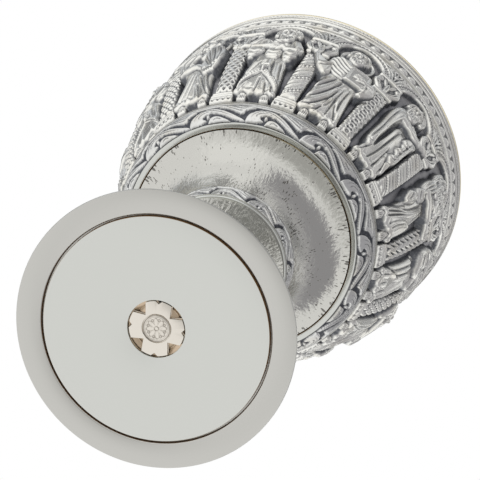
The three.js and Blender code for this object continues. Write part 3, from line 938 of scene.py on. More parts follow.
    def _above(self, depth: np.ndarray, reach: float) -> np.ndarray:
        """Compares each place with the highest one near it.

        Args:
            depth: Depths on this relief's grid.
            reach: How far away, in mm, a higher place counts.

        Returns:
            How far the highest place within reach stands above each place.
        """
        steps = round(reach / self.cell)
        crest = depth
        for axis in (0, 1):
            source = crest
            if not (self.wrap and axis):
                ends = [(steps, steps) if a == axis else (0, 0) for a in (0, 1)]
                source = np.pad(crest, ends, mode="edge")
            shifted = [np.roll(source, step, axis=axis) for step in range(-steps, steps + 1)]
            crest = np.maximum.reduce(shifted)
            if source.shape != depth.shape:
                crest = np.take(crest, range(steps, steps + depth.shape[axis]), axis=axis)
        return crest - depth

    def recess(self, spread: float = 0.45) -> np.ndarray:
        """How dark each place is painted: oxide with painted shade in hollows and near the ground, and
        painted shade on steep sides and beside higher forms.

        Args:
            spread: Reach of the polishing in mm.

        Returns:
            Values from 0 to 1.
        """
        above = np.maximum(self.depth, -0.2)
        fine = (blur(above, spread / self.cell, self.wrap) - above) / self.hollow - 0.15
        wide = (blur(above, 3 * spread / self.cell, self.wrap) - above) / (5 * self.hollow) - 0.1
        # Oxide with painted shade near the ground.
        start, end = self.dark_below
        deep = np.clip((start - self.depth) / (start - end), 0, 1) ** 1.3
        # Painted shade on steep sides and beside higher forms.
        side = (self._above(above, 0.7) - 0.55) / 0.75
        return np.clip(np.maximum.reduce([fine, wide, deep, side]), 0, 1)


@dataclass(frozen=True)
class WallShape:
    """Outer face of the frieze wall, steep at the top and drawn in below.

    Attributes:
        foot: Height of its foot, the ledge's top.
        height: Height of the frieze.
        bottom: Radius at its foot.
        spread: How much wider it is at its top.
        curve: How fast it draws in.
        reference: Radius at which x on a relief is true.
    """

    foot: float = 131.2
    height: float = 68.0
    bottom: float = 48.5
    spread: float = 10.4
    curve: float = 2.4
    reference: float = 58.0

    def radius(self, z: np.ndarray | float) -> np.ndarray:
        """Returns the radius at a height."""
        t = np.clip((np.asarray(z, float) - self.foot) / self.height, 0, 1)
        return self.bottom + self.spread * (1 - (1 - t) ** self.curve)

    def place(self, x: np.ndarray, z: np.ndarray, depth: np.ndarray, azimuth: float) -> np.ndarray:
        """Lays relief on the wall.

        Args:
            x: Arc from the middle line, true at the reference radius.
            z: Height.
            depth: Distance out of the wall.
            azimuth: Azimuth of the middle line in radians.

        Returns:
            Points with a last axis of three.
        """
        angle = azimuth + x / self.reference
        radius = self.radius(z) + depth
        return np.stack([radius * np.cos(angle), radius * np.sin(angle), z], axis=-1)


WALL = WallShape()
# Azimuth of the middle line of the first column.
COLUMN_AZIMUTH = math.radians(1.9 - 90)


def relief_solid(name: str, relief: Relief, azimuth: float, finish: Finish) -> bpy.types.Object:
    """Turns the part of a relief that stands out into a closed solid laid on the wall.

    Args:
        name: Piece name.
        relief: The relief, with its ground below the wall's face.
        azimuth: Azimuth of its middle line in radians.
        finish: Finish of the piece.

    Returns:
        The solid. Its back lies inside the wall.
    """
    solid = relief.depth > BURIED + 0.05
    rows = np.flatnonzero(solid.any(axis=1))
    first, last = max(rows[0] - 1, 0), min(rows[-1] + 1, len(solid) - 1)
    width = solid.shape[1] - 1
    place = np.arange(len(solid))
    low = np.interp(place, rows, solid[rows].argmax(axis=1))
    high = np.interp(place, rows, width - solid[rows][:, ::-1].argmax(axis=1))
    reach = max(2, round(1.6 / relief.cell))
    low = np.array([low[max(i - reach, 0) : i + reach + 1].min() for i in place])
    high = np.array([high[max(i - reach, 0) : i + reach + 1].max() for i in place])
    bell = np.hanning(2 * reach + 1) / np.hanning(2 * reach + 1).sum()
    low = np.convolve(np.pad(low, reach, mode="edge"), bell, mode="valid") - 2
    high = np.convolve(np.pad(high, reach, mode="edge"), bell, mode="valid") + 2
    low, high = np.clip(low, 0, width)[first : last + 1], np.clip(high, 0, width)[first : last + 1]
    count = int((high - low).max()) + 1
    at = low[:, None] + (high - low)[:, None] * np.linspace(0, 1, count)
    depth, dark = (
        np.stack([np.interp(a, np.arange(width + 1), grid[first + i]) for i, a in enumerate(at)])
        for grid in (relief.depth, relief.recess())
    )
    depth[[0, -1]] = BURIED
    depth[:, [0, -1]] = BURIED
    x = relief.x[0, 0] + at * (relief.x[0, 1] - relief.x[0, 0])
    z = np.repeat(relief.y[first : last + 1, :1], count, axis=1)
    points = WALL.place(x, z, depth, azimuth).reshape(-1, 3)
    index = np.arange(points.shape[0]).reshape(depth.shape)
    front = np.stack([index[:-1, :-1], index[:-1, 1:], index[1:, 1:], index[1:, :-1]], axis=-1).reshape(-1, 4)
    left, right = index[:, 0], index[:, -1]
    back = np.stack([left[:-1], left[1:], right[1:], right[:-1]], axis=-1)
    faces = np.concatenate([front, back, fan(index[0], turned=True), fan(index[-1])])
    return make_piece(name, points, faces, finish, recess=dark.reshape(-1), sharp=180.0)


def ring_template(
    name: str,
    relief: Relief,
    count: int,
    radius_at: Callable[[np.ndarray], np.ndarray],
    inner: Points,
    finish: Finish,
) -> bpy.types.Object:
    """Makes one bay of a relief ring, open where it meets its neighbours.

    Args:
        name: Name of the bay.
        relief: One bay of the relief, x along the ring and y its height.
        count: How many bays the ring has.
        radius_at: Radius of the ring's face at a height.
        inner: Points, as (radius, height), that close the section behind the relief, from its top down.
        finish: Finish of the ring.

    Returns:
        The bay, to be copied round the axis.
    """
    span = relief.right - relief.left
    angle = (relief.x[0] - relief.left) / span * 2 * math.pi / count
    radius = radius_at(relief.y) + relief.depth
    behind = np.array(inner, float)
    all_radius = np.vstack([radius, np.repeat(behind[:, :1], radius.shape[1], axis=1)])
    height = np.vstack([relief.y, np.repeat(behind[:, 1:], radius.shape[1], axis=1)])
    dark = np.vstack([relief.recess(), np.ones((len(behind), radius.shape[1]))])
    points = np.stack([all_radius * np.cos(angle), all_radius * np.sin(angle), height], axis=-1)
    index = np.arange(all_radius.size).reshape(all_radius.shape)
    below = np.vstack([index, index[:1]])
    quads = np.stack([below[:-1, :-1], below[:-1, 1:], below[1:, 1:], below[1:, :-1]], axis=-1)
    faces = quads.reshape(-1, 4)
    template = make_piece(name, points.reshape(-1, 3), faces, finish, recess=dark.reshape(-1))
    outward = np.array(template.data.polygons[0].normal)
    first = np.array(template.data.polygons[0].center)
    if np.dot(outward[:2], first[:2]) < 0:
        template.data.flip_normals()
    return template


def copies_round_axis(
    name: str, template: bpy.types.Object, count: int, start: float, finish: Finish
) -> bpy.types.Object:
    """Copies a bay round the stem's axis with Geometry Nodes and joins the copies.

    Args:
        name: Name of the whole ring.
        template: The bay, which is removed afterwards.
        count: Number of copies.
        start: Turn of the first copy in radians.
        finish: Finish of the ring.

    Returns:
        The ring as a plain mesh.
    """
    tree = bpy.data.node_groups.new(f"{name} copies", "GeometryNodeTree")
    sockets = tree.interface
    sockets.new_socket("Geometry", in_out="INPUT", socket_type="NodeSocketGeometry")
    settings = {}
    for label, kind, value in (
        ("Bay", "Object", template),
        ("Copies", "Int", count),
        ("First turn", "Float", start),
        ("Weld distance", "Float", 0.004 * MM),
        ("Finish", "Material", finish.build()),
    ):
        socket = sockets.new_socket(label, in_out="INPUT", socket_type=f"NodeSocket{kind}")
        settings[socket.identifier] = value
    sockets.new_socket("Geometry", in_out="OUTPUT", socket_type="NodeSocketGeometry")
    given = add_node(tree, "NodeGroupInput").outputs
    shape = add_node(tree, "GeometryNodeObjectInfo", {"Object": given["Bay"]}).outputs["Geometry"]
    points = add_node(tree, "GeometryNodePoints", {"Count": given["Copies"]}).outputs[0]
    number = add_node(tree, "GeometryNodeInputIndex").outputs[0]
    step = add_node(tree, "ShaderNodeMath", {0: math.tau, 1: given["Copies"]}, operation="DIVIDE").outputs[0]
    angle = add_node(
        tree, "ShaderNodeMath", {0: number, 1: step, 2: given["First turn"]}, operation="MULTIPLY_ADD"
    ).outputs[0]
    euler = add_node(tree, "ShaderNodeCombineXYZ", {"Z": angle}).outputs[0]
    turned = add_node(tree, "FunctionNodeEulerToRotation", {0: euler}).outputs[0]
    placed = add_node(
        tree, "GeometryNodeInstanceOnPoints", {"Points": points, "Instance": shape, "Rotation": turned}
    ).outputs[0]
    real = add_node(tree, "GeometryNodeRealizeInstances", {0: placed}).outputs[0]
    joined = add_node(
        tree, "GeometryNodeMergeByDistance", {"Geometry": real, "Distance": given["Weld distance"]}
    ).outputs[0]
    coated = add_node(
        tree, "GeometryNodeSetMaterial", {"Geometry": joined, "Material": given["Finish"]}
    ).outputs[0]
    add_node(tree, "NodeGroupOutput", {0: coated})
    holder = bpy.data.objects.new(name, bpy.data.meshes.new(f"{name} holder"))
    bpy.context.scene.collection.objects.link(holder)
    modifier = holder.modifiers.new("copies", "NODES")
    modifier.node_group = tree
    for identifier, value in settings.items():
        modifier[identifier] = value
    return as_plain_mesh(holder, template)


def relief_ring(
    name: str,
    relief: Relief,
    count: int,
    radius_at: Callable[[np.ndarray], np.ndarray],
    inner: Points,
    finish: Finish,
    start: float = 0.0,
) -> bpy.types.Object:
    """Lays a bay of relief and repeats it all the way round the stem's axis.

    Args:
        name: Name of the ring.
        relief: One bay of the relief, x along the ring and y its height.
        count: How many bays the ring has.
        radius_at: Radius of the ring's face at a height.
        inner: Points, as (radius, height), that close the section behind the relief, from its top down.
        finish: Finish of the ring.
        start: Azimuth in radians at which the first bay starts.

    Returns:
        The ring as a plain mesh.
    """
    template = ring_template(f"{name}_bay", relief, count, radius_at, inner, finish)
    return copies_round_axis(name, template, count, start, finish)


def as_plain_mesh(holder: bpy.types.Object, template: bpy.types.Object) -> bpy.types.Object:
    """Replaces an object's modifiers by the mesh that they make, and removes the template.

    Args:
        holder: Object with the modifiers.
        template: Object that they copied.

    Returns:
        The same object, with a plain mesh that is smooth all over.
    """
    evaluated = holder.evaluated_get(bpy.context.evaluated_depsgraph_get())
    mesh = bpy.data.meshes.new_from_object(evaluated)
    holder.modifiers.clear()
    holder.data = mesh
    mesh.shade_smooth()
    mesh.set_sharp_from_angle(angle=math.pi)
    bpy.data.objects.remove(template)
    return holder


# Foot, fixing, stem, collar and bowl


def recoat(piece: bpy.types.Object, finish: Finish, chosen: Callable[[Vector], bool]) -> None:
    """Gives some of a piece's faces another finish.

    Args:
        piece: The piece.
        finish: Finish that those faces get.
        chosen: Tells from a face's middle, in metres, whether it is one of them.
    """
    piece.data.materials.append(finish.build())
    for face in piece.data.polygons:
        if chosen(face.center):
            face.material_index = 1


def tarnish(piece: bpy.types.Object, nearest: float, farthest: float) -> None:
    """Gives the faces of a seam their brown tarnish.

    Args:
        piece: Turned piece that the seam lies against.
        nearest: Smallest radius in mm of the faces that are tarnished.
        farthest: Largest radius of them.
    """
    recoat(piece, TARNISHED, lambda middle: nearest * MM < math.hypot(*middle.xy) < farthest * MM)


@dataclass
class Foot:
    """Foot: turned rim, base plate let into it, and the hammered bell above them.

    Attributes:
        radius: Radius of the rim at its widest.
        height: Height of the rim.
        width: Width of its flat underside and rounding.
        lip: Height of the thin edge that stands on the table.
        edge: How far the rim draws in above that edge.
        ledge: Width of the ledge that holds the plate.
        plate_recess: How far the plate lies above the table.
        plate_thickness: Thickness of the plate.
        seam: Gap round the plate.
        hole: Radius of the plate's hole.
        sheet: Thickness of the bell.
        bell_height: Height of the bell.
        brim: Width of the bell's flat brim on the rim.
        neck: Radius of its neck.
        bore: Radius of the hole in its neck.
    """

    radius: float = 54.3
    height: float = 6.0
    width: float = 9.9
    lip: float = 0.8
    edge: float = 2.8
    ledge: float = 3.0
    plate_recess: float = 0.06
    plate_thickness: float = 1.84
    seam: float = 0.6
    hole: float = 11.2
    sheet: float = 1.2
    bell_height: float = 32.0
    brim: float = 7.0
    neck: float = 10.5
    bore: float = 5.0

    def build(self) -> None:
        """Makes the rim, the plate with the tarnish on its edge, and the bell."""
        inner = self.radius - self.width
        shelf = self.plate_recess + self.plate_thickness + 0.3
        rise = self.height - self.lip
        arc = [
            (self.radius - self.edge * (0.25 * t + 0.75 * math.sin(math.pi * t / 2)), self.lip + rise * t)
            for t in np.linspace(0, 1, 17)
        ]
        section = [(inner, shelf), (inner, 1.1), (inner + 0.2, 0.5), (inner + 0.5, 0.14), (inner + 0.9, 0.0)]
        section += [(self.radius - 0.35, 0.0), (self.radius - 0.1, 0.1), (self.radius, 0.35)] + arc
        section += [(inner - self.ledge, self.height), (inner - self.ledge, shelf)]
        rim = lathe("foot_rim_turned", section, SATIN, segments=240)
        hand_over(rim, "chalice", ["foot_rim"])
        plate = lathe("base_plate_polished", rounded(self._plate(inner), 0.16), POLISHED, segments=240)
        tarnish(plate, inner - self.seam - 0.1, inner)
        hand_over(plate, "chalice", ["base_plate"])
        hand_over(self._bell(), "chalice", ["foot_shell"])

    def _plate(self, inner: float) -> list[tuple[float, float]]:
        """Returns the plate's section inside a rim."""
        low, high = self.plate_recess, self.plate_recess + self.plate_thickness
        return [(self.hole, low), (inner - self.seam, low), (inner - self.seam, high), (self.hole, high)]

    def _bell(self) -> bpy.types.Object:
        """Returns the bell with the web in its neck."""
        start, top = self.height + 0.3, self.height + 0.3 + self.bell_height
        flange = self.radius - self.edge
        foot = flange - self.brim
        outer = [(flange, start + self.sheet)] + bezier(
            [
                (foot, start + self.sheet),
                (foot - (foot - self.neck) * 0.55, start + self.sheet),
                (self.neck, start + self.bell_height * 0.35),
                (self.neck, top),
            ],
            24,
        )
        inner = [
            (max(r - self.sheet / 2, self.bore), max(z - self.sheet, start)) for r, z in outer[::-1][1:-1]
        ]
        section = outer + [
            (self.bore, top), (self.bore, top - self.sheet), (self.neck - self.sheet, top - self.sheet)
        ]
        return lathe("foot_bell", section + inner + [(flange, start)], HAMMERED, segments=200)


@dataclass
class Fixing:
    """Lobed nut with its medallion, and the brass cup, tube and steel rod behind it.

    Attributes:
        radius: Radius of the nut.
        recess: How far its face lies above the table.
        thickness: Thickness of the nut with its hub.
        plate: Thickness of its lobed plate.
        arm_half_angle: Half the angle that an arm takes at its rim.
        corner: Distance from the axis to the corner between two arms.
        notch_depth: Depth of the V notch in each arm.
        notch_half_angle: Half the angle that a notch takes.
        azimuth: Azimuth of the first arm.
        medallion: Radius of the medallion.
        petals: Petals of its rosette.
        cup_radius: Outer radius of the cup.
        cup_wall: Thickness of its wall.
        cup_floor: Thickness of its floor.
        cup_foot: Height of its mouth.
        cup_top: Height of its floor's upper side.
        bore: Radius of the holes in the cup and the tube.
        tube_radius: Outer radius of the tube.
        tube_foot: Height of the tube's lower end.
        tube_top: Height of its upper end.
        rod_radius: Radius of the rod.
        rod_foot: Height of the rod's lower end.
        rod_top: Height of its upper end.
    """

    radius: float = 10.8
    recess: float = 0.35
    thickness: float = 6.0
    plate: float = 1.9
    arm_half_angle: float = math.radians(28.6)
    corner: float = 6.7
    notch_depth: float = 1.1
    notch_half_angle: float = math.radians(6.4)
    azimuth: float = math.radians(54.5)
    medallion: float = 5.35
    petals: int = 8
    cup_radius: float = 12.9
    cup_wall: float = 1.4
    cup_floor: float = 1.5
    cup_foot: float = 2.2
    cup_top: float = 8.15
    bore: float = 5.0
    tube_radius: float = 7.0
    tube_foot: float = 8.45
    tube_top: float = 36.8
    rod_radius: float = 4.0
    rod_foot: float = 2.75
    rod_top: float = 120.4

    def build(self) -> None:
        """Makes the nut, its medallion, the brass cup round it, the tube and the rod."""
        hand_over(self._nut(), "fixing_nut", ["fixing_nut"])
        hand_over(self._medallion(), "fixing_nut", ["nut_medallion"])
        inner, floor = self.cup_radius - self.cup_wall, self.cup_top - self.cup_floor
        section = [(inner, self.cup_foot), (self.cup_radius, self.cup_foot), (self.cup_radius, self.cup_top)]
        section += [(self.bore, self.cup_top), (self.bore, floor), (inner, floor)]
        cup = lathe("nut_cup_turned", rounded(section, 0.2), BRASS, segments=120)
        hand_over(cup, "chalice", ["nut_cup"])
        section = [(self.bore, self.tube_foot), (self.tube_radius, self.tube_foot)]
        section += [(self.tube_radius, self.tube_top), (self.bore, self.tube_top)]
        tube = lathe("spacer_tube_turned", section, BRASS, segments=96)
        hand_over(tube, "chalice", ["spacer_tube"])
        section = [
            (0, self.rod_foot), (self.rod_radius - 0.3, self.rod_foot), (self.rod_radius, self.rod_foot + 0.3)
        ]
        section += [(self.rod_radius, self.rod_top), (0, self.rod_top)]
        rod = lathe("tie_rod_steel", section, STEEL, segments=64)
        hand_over(rod, "chalice", ["tie_rod"])

    def _outline(self, inset: float) -> np.ndarray:
        """Outline of the lobed plate.

        Args:
            inset: How far it is drawn in, in mm.

        Returns:
            Its points, one row each.
        """

        def on_circle(radius: float, angle: float) -> tuple[float, float]:
            """Returns the point at a radius and an azimuth."""
            return radius * math.cos(angle), radius * math.sin(angle)

        points = []
        for arm in range(4):
            middle = self.azimuth + arm * math.pi / 2
            rim = self.radius - inset
            slip = inset / self.radius
            edge = np.linspace(self.arm_half_angle - 1.2 * slip, self.notch_half_angle + slip, 9)
            points += [on_circle(rim, middle - angle) for angle in edge]
            points.append(on_circle(self.radius - self.notch_depth - 1.3 * inset, middle))
            points += [on_circle(rim, middle + angle) for angle in edge[::-1]]
            points.append(on_circle(self.corner - 1.4 * inset, middle + math.pi / 4))
        return np.array(points)

    def _nut(self) -> bpy.types.Object:
        """Returns the nut: a lobed plate with a pocket for the medallion, on a round brass hub."""
        side = [
            (0.25, 0), (0.07, 0.07), (0, 0.25), (0, 0.9), (0.2, 1.0), (0.2, 1.3), (0, 1.4), (0, self.plate)
        ]
        levels = [(self._outline(inset), self.recess + rise) for inset, rise in side]
        pocket = self.medallion + 0.3
        outer = levels[0][0]
        angles = np.arctan2(outer[:, 1], outer[:, 0])
        ring = np.stack([np.cos(angles), np.sin(angles)], axis=1)
        levels = [
            (ring * 0.01, self.recess + 1.1),
            (ring * pocket, self.recess + 1.1),
            (ring * pocket, self.recess + 0.1),
            (ring * (pocket + 0.1), self.recess),
            *levels,
            (ring * 0.01, self.recess + self.plate),
        ]
        points = np.vstack([np.column_stack([flat, np.full(len(flat), z)]) for flat, z in levels])
        index = np.arange(len(points)).reshape(-1, len(outer))
        quads = [
            np.stack([low, np.roll(low, -1), np.roll(high, -1), high], axis=1)
            for low, high in zip(index[:-1], index[1:])
        ]
        faces = np.concatenate([*quads, fan(index[0], turned=True), fan(index[-1])])
        nut = make_piece("fixing_nut_lobed", points, faces, NUT_SILVER, sharp=25)
        low, high, rim = self.recess + self.plate + 0.02, self.recess + self.thickness, self.radius + 0.5
        hub = [(0, low), (5.5, low), (rim - 2.3, low + 0.5), (rim - 2.2, low + 0.6), (rim - 2.0, low + 0.6)]
        hub += [(rim - 1.9, low + 0.5), (rim, low + 0.3), (rim, high), (0, high)]
        hub = lathe("nut_hub_turned", hub, BRASS, segments=120)
        with bpy.context.temp_override(active_object=nut, selected_editable_objects=[nut, hub]):
            bpy.ops.object.join()
        return nut

    def _medallion(self) -> bpy.types.Object:
        """Returns the medallion: a rim, a groove and a rosette of petals."""
        rings, spokes = 54, 224
        radius = np.linspace(0.02, self.medallion, rings)
        angle = np.arange(spokes) * math.tau / spokes
        r, a = np.meshgrid(radius, angle, indexing="ij")
        petal = np.abs(np.cos(a * self.petals / 2))
        between = (a * self.petals / math.tau) % 1 - 0.5
        dot = np.hypot(between * math.tau * 3.4 / self.petals, r - 3.4)
        line = np.exp(-(((r - 0.8) / 0.15) ** 2))
        for gap in (r - 1.2 - 2.8 * petal**0.7, dot - 0.42):
            line = np.maximum(line, np.exp(-((gap / 0.16) ** 2)))
        groove = np.exp(-(((r - 5.1) / 0.22) ** 2)) + 0.5 * np.exp(-(((r - 4.5) / 0.14) ** 2))
        face = self.recess + 0.12 + 0.1 * line + 0.16 * groove
        dark = 0.75 * line + 0.8 * groove
        points = np.stack([r * np.cos(a), r * np.sin(a), face], axis=-1).reshape(-1, 3)
        back = points[-spokes:].copy()
        back[:, 2] = self.recess + 0.9
        points = np.vstack([points, back])
        index = np.arange(len(points)).reshape(-1, spokes)
        quads = [
            np.stack([low, high, np.roll(high, -1), np.roll(low, -1)], axis=1)
            for low, high in zip(index[:-1], index[1:])
        ]
        faces = np.concatenate([*quads, fan(index[0]), fan(index[-1], turned=True)])
        recess = np.concatenate([dark.reshape(-1), np.zeros(spokes)])
        return make_piece("nut_medallion_rosette", points, faces, ROSETTE, recess)


@dataclass
class Stem:
    """Stem: ring, waisted tube, knop, waisted tube and the flare below the collar.

    Attributes:
        neck: Radius where the pieces meet.
        bore: Radius of the bore.
        knop: Radius of the knop.
        flare_foot: Height of the flare's foot.
        flare_height: Height of the flare.
        flare_radius: Radius of its top.
        sheet: Thickness of the flare.
    """

    neck: float = 10.5
    bore: float = 5.0
    knop: float = 17.0
    flare_foot: float = 73.4
    flare_height: float = 11.0
    flare_radius: float = 26.4
    sheet: float = 1.2

    def build(self) -> None:
        """Makes the stem's pieces from the neck up."""
        # Node, height of its foot, its height, how far it bulges, finish, slot.
        rows = [
            ("stem_ring", 38.6, 3.6, 2.4, POLISHED, "polished_silver"),
            ("lower_stem", 42.5, 7.0, -1.4, HAMMERED, "hammered_silver"),
            ("knop", 49.8, 18.0, self.knop - self.neck, HAMMERED, "hammered_silver"),
            ("upper_stem", 68.1, 5.0, -1.4, HAMMERED, "hammered_silver"),
        ]
        for node, foot, height, bulge, finish, slot in rows:
            outer = [
                (self.neck + bulge * math.sin(math.pi * t), foot + height * t) for t in np.linspace(0, 1, 25)
            ]
            section = outer + [(self.bore, foot + height), (self.bore, foot)]
            hand_over(lathe(f"{node}_turned", section, finish, segments=120), "chalice", [node])
        top = self.flare_foot + self.flare_height
        outer = bezier(
            [
                (self.neck, self.flare_foot),
                (self.neck + 1.5, self.flare_foot + self.flare_height * 0.5),
                (self.flare_radius - self.flare_height * 0.6, top - self.sheet - 2.2),
                (self.flare_radius, top - self.sheet),
            ],
            24,
        )
        inner = [(max(r - self.sheet, 9.2), min(z + self.sheet, top)) for r, z in outer[::-1]]
        flare = lathe("stem_flare_hammered", outer + inner, HAMMERED, segments=160)
        hand_over(flare, "chalice", ["stem_flare"])


def acanthus_scroll(relief: Relief, left: float, width: float, foot: float, height: float) -> Relief:
    """Chases one wave of leaf scroll: an arching leaf, the curl under it, and small leaves beside it.

    Args:
        relief: Relief that gets it, with its ground below the band's face.
        left: Where the wave starts.
        width: Length of the wave.
        foot: Lower edge of the scroll.
        height: Height of the scroll.

    Returns:
        The relief.
    """
    leaf = [
        (0.03, 0.06), (0.06, 0.4), (0.15, 0.7), (0.29, 0.9), (0.45, 0.92), (0.6, 0.74), (0.74, 0.5),
        (0.88, 0.28), (1.0, 0.12), (1.02, 0.02), (0.9, 0.06), (0.76, 0.2), (0.62, 0.4), (0.5, 0.54),
        (0.38, 0.56), (0.3, 0.44), (0.29, 0.28), (0.34, 0.18), (0.27, 0.05), (0.16, -0.02), (0.08, -0.02),
    ]
    back = [
        (0.55, 1.04), (0.68, 0.84), (0.82, 0.6), (0.94, 0.42), (0.99, 0.52), (1.03, 0.74), (1.12, 0.94),
        (1.1, 1.04),
    ]
    under = [(0.42, -0.06), (0.39, 0.1), (0.43, 0.28), (0.53, 0.32), (0.65, 0.18), (0.78, -0.06)]
    veins = [
        [
            (0.11, 0.18), (0.16, 0.5), (0.26, 0.74), (0.4, 0.78), (0.55, 0.62), (0.7, 0.4), (0.85, 0.2),
            (0.96, 0.09),
        ],
        [(0.2, 0.26), (0.22, 0.5), (0.31, 0.65), (0.43, 0.64), (0.55, 0.5)],
        [(0.66, 0.98), (0.76, 0.82), (0.88, 0.66), (0.97, 0.62)],
        [(0.82, 0.98), (0.9, 0.86), (1.0, 0.8)],
        [(0.47, 0.0), (0.48, 0.14), (0.55, 0.18), (0.64, 0.04)],
    ]
    notches = [[(0.06, 0.66), (0.15, 0.6)], [(0.13, 0.85), (0.21, 0.74)], [(0.25, 1.0), (0.3, 0.84)]]
    unit = height / 6.6

    def placed(points: Points, shift: float) -> list[tuple[float, float]]:
        """Returns points of the wave that lies so many waves along."""
        return [(left + (x + shift) * width, foot + y * height) for x, y in points]

    for shift in (-1.0, 0.0, 1.0):
        for outline, rise in ((back, 0.4), (under, 0.35), (leaf, 0.8)):
            relief.form(placed(outline, shift), 0.6, rise * unit, -0.2)
    for shift in (-1.0, 0.0, 1.0):
        for vein in veins:
            relief.stroke(placed(vein, shift), 0.2 * unit, -0.4, ends=(0.2, 0.3))
        for notch in notches:
            relief.stroke(placed(notch, shift), 0.26 * unit, -0.6, ends=(0.25, 0.25))
        relief.dome(placed([(0.37, 0.36)], shift)[0], (0.6 * unit, 0.6 * unit), 0.4 * unit, 0.2 * unit)
    return relief


@dataclass
class Collar:
    """Collar that the bowl stands on: a plain ring, and a ring chased with leaf scrolls.

    Attributes:
        radius: Radius of the rings.
        width: Width of their walls.
        foot: Height of the plain ring's foot.
        ring_height: Height of the plain ring.
        leaf_foot: Height of the leafy ring's foot.
        leaf_height: Height of the leafy ring.
        waves: Leaf scrolls round it.
    """

    radius: float = 27.0
    width: float = 4.0
    foot: float = 84.7
    ring_height: float = 2.8
    leaf_foot: float = 87.8
    leaf_height: float = 9.4
    waves: int = 11

    def build(self) -> None:
        """Makes both rings."""
        inner = self.radius - self.width
        top = self.foot + self.ring_height
        section = [(inner, self.foot), (self.radius, self.foot), (self.radius, top), (inner, top)]
        ring = lathe("collar_ring_turned", rounded(section, 0.7), POLISHED, segments=160)
        hand_over(ring, "chalice", ["collar_ring"])
        span = math.tau * self.radius / self.waves
        low, high = self.leaf_foot, self.leaf_foot + self.leaf_height
        relief = Relief(
            0, span, low, high, cell=0.24, ground=-0.75, wrap=True, dark_below=(0.0, -0.6), hollow=0.16
        )
        for edge, height in ((low + 0.4, 0.7), (low + 1.2, 0.7), (high - 0.5, 1.15)):
            relief.stroke([(-2, edge), (span + 2, edge)], 0.55, height, ends=(0, 0))
        acanthus_scroll(relief, 0, span, low + 1.9, self.leaf_height - 3.0)
        relief.soften(0.1)
        inner_wall = [(inner, high), (inner, low)]
        ring = relief_ring("leaf_collar_chased", relief, self.waves, self._face, inner_wall, SCROLLED, 0.4)
        hand_over(ring, "chalice", ["leaf_collar"])

    def _face(self, z: np.ndarray) -> np.ndarray:
        """Returns the radius of the leafy face at a height: it leans out a little."""
        return self.radius - 0.1 - 1.7 * (1 - (z - self.leaf_foot) / self.leaf_height)


@dataclass
class Bowl:
    """Bowl's underside: hammered flare, plain ring round it, and the band of leaf scrolls.

    Attributes:
        foot: Height of the flare's foot.
        height: Height of the flare.
        start: Radius of its foot.
        ring_inner: Inner radius of the plain ring.
        ring_outer: Outer radius of the plain ring.
        ring_thickness: Thickness of the plain ring.
        band_foot: Height of the scroll band's foot.
        band_height: Height of the scroll band.
        band_mean: Radius at which its scrolls keep their shape.
        band_spread: How much wider the band is at its top.
        band_bulge: How far it bulges.
        waves: Leaf scrolls round it.
        sheet: Thickness of the metal.
    """

    foot: float = 97.5
    height: float = 22.6
    start: float = 26.2
    ring_inner: float = 42.7
    ring_outer: float = 45.2
    ring_thickness: float = 1.6
    band_foot: float = 120.4
    band_height: float = 9.2
    band_mean: float = 48.0
    band_spread: float = 4.25
    band_bulge: float = 1.1
    waves: int = 13
    sheet: float = 1.2

    def build(self) -> None:
        """Makes the flare, the ring and the band."""
        top = self.foot + self.height
        end = self.ring_inner - 0.2
        outer = bezier(
            [
                (self.start, self.foot),
                (self.start + 2, self.foot + self.height * 0.45),
                (end - 9, self.foot + self.height * 0.9),
                (end, top),
            ],
            40,
        )
        inner = [(r - 1.0, z + 0.8) for r, z in outer[::-1]]
        inner[-1] = (inner[-1][0], self.foot)
        flare = lathe("bowl_flare_hammered", outer + inner, PLANISHED, segments=240)
        hand_over(flare, "chalice", ["bowl_flare"])

        high = top + self.ring_thickness
        section = [
            (self.ring_inner, top), (self.ring_outer, top), (self.ring_outer, high), (self.ring_inner, high)
        ]
        ring = lathe("plain_ring_polished", rounded(section, 0.75, 6), POLISHED, segments=240)
        tarnish(ring, 0, self.ring_inner + 0.3)
        hand_over(ring, "chalice", ["plain_ring"])
        hand_over(self._band(), "chalice", ["scroll_band"])

    def _face(self, z: np.ndarray) -> np.ndarray:
        """Returns the radius of the band's face at a height."""
        t = (z - self.band_foot) / self.band_height
        return self.ring_outer + 0.35 + self.band_spread * t + self.band_bulge * np.sin(
            np.pi * np.clip(t, 0, 1)
        )

    def _band(self) -> bpy.types.Object:
        """Returns the band: leaf scrolls, and two ridges above them."""
        span = math.tau * self.band_mean / self.waves
        low, high = self.band_foot, self.band_foot + self.band_height
        relief = Relief(
            0, span, low, high, cell=0.24, ground=-0.55, wrap=True, dark_below=(-0.1, -0.5), hollow=0.16
        )
        acanthus_scroll(relief, 0, span, low + 0.2, 6.5)
        for middle, width in ((high - 1.75, 0.6), (high - 0.85, 0.55), (high - 0.1, 0.45)):
            relief.stroke([(-2, middle), (span + 2, middle)], width, 0.95, ends=(0, 0))
        relief.soften(0.1)
        relief.depth = np.minimum(relief.depth, 1.6 * (relief.y - low) - 0.4)
        start = self.ring_outer + 0.35
        inner = [(start + self.band_spread - self.sheet - 0.6, high), (start + 0.1, low + self.sheet)]
        return relief_ring("scroll_band_chased", relief, self.waves, self._face, inner, SCROLLED, 0.15)


# Frieze


class Pattern(Enum):
    """Pattern that a column's shaft is chased with."""

    RINGS = "rings"
    STRIPES = "stripes"
    ZIGZAG = "zigzag"
    PEBBLES = "pebbles"
    LATTICE = "lattice"
    SPIRAL = "spiral"


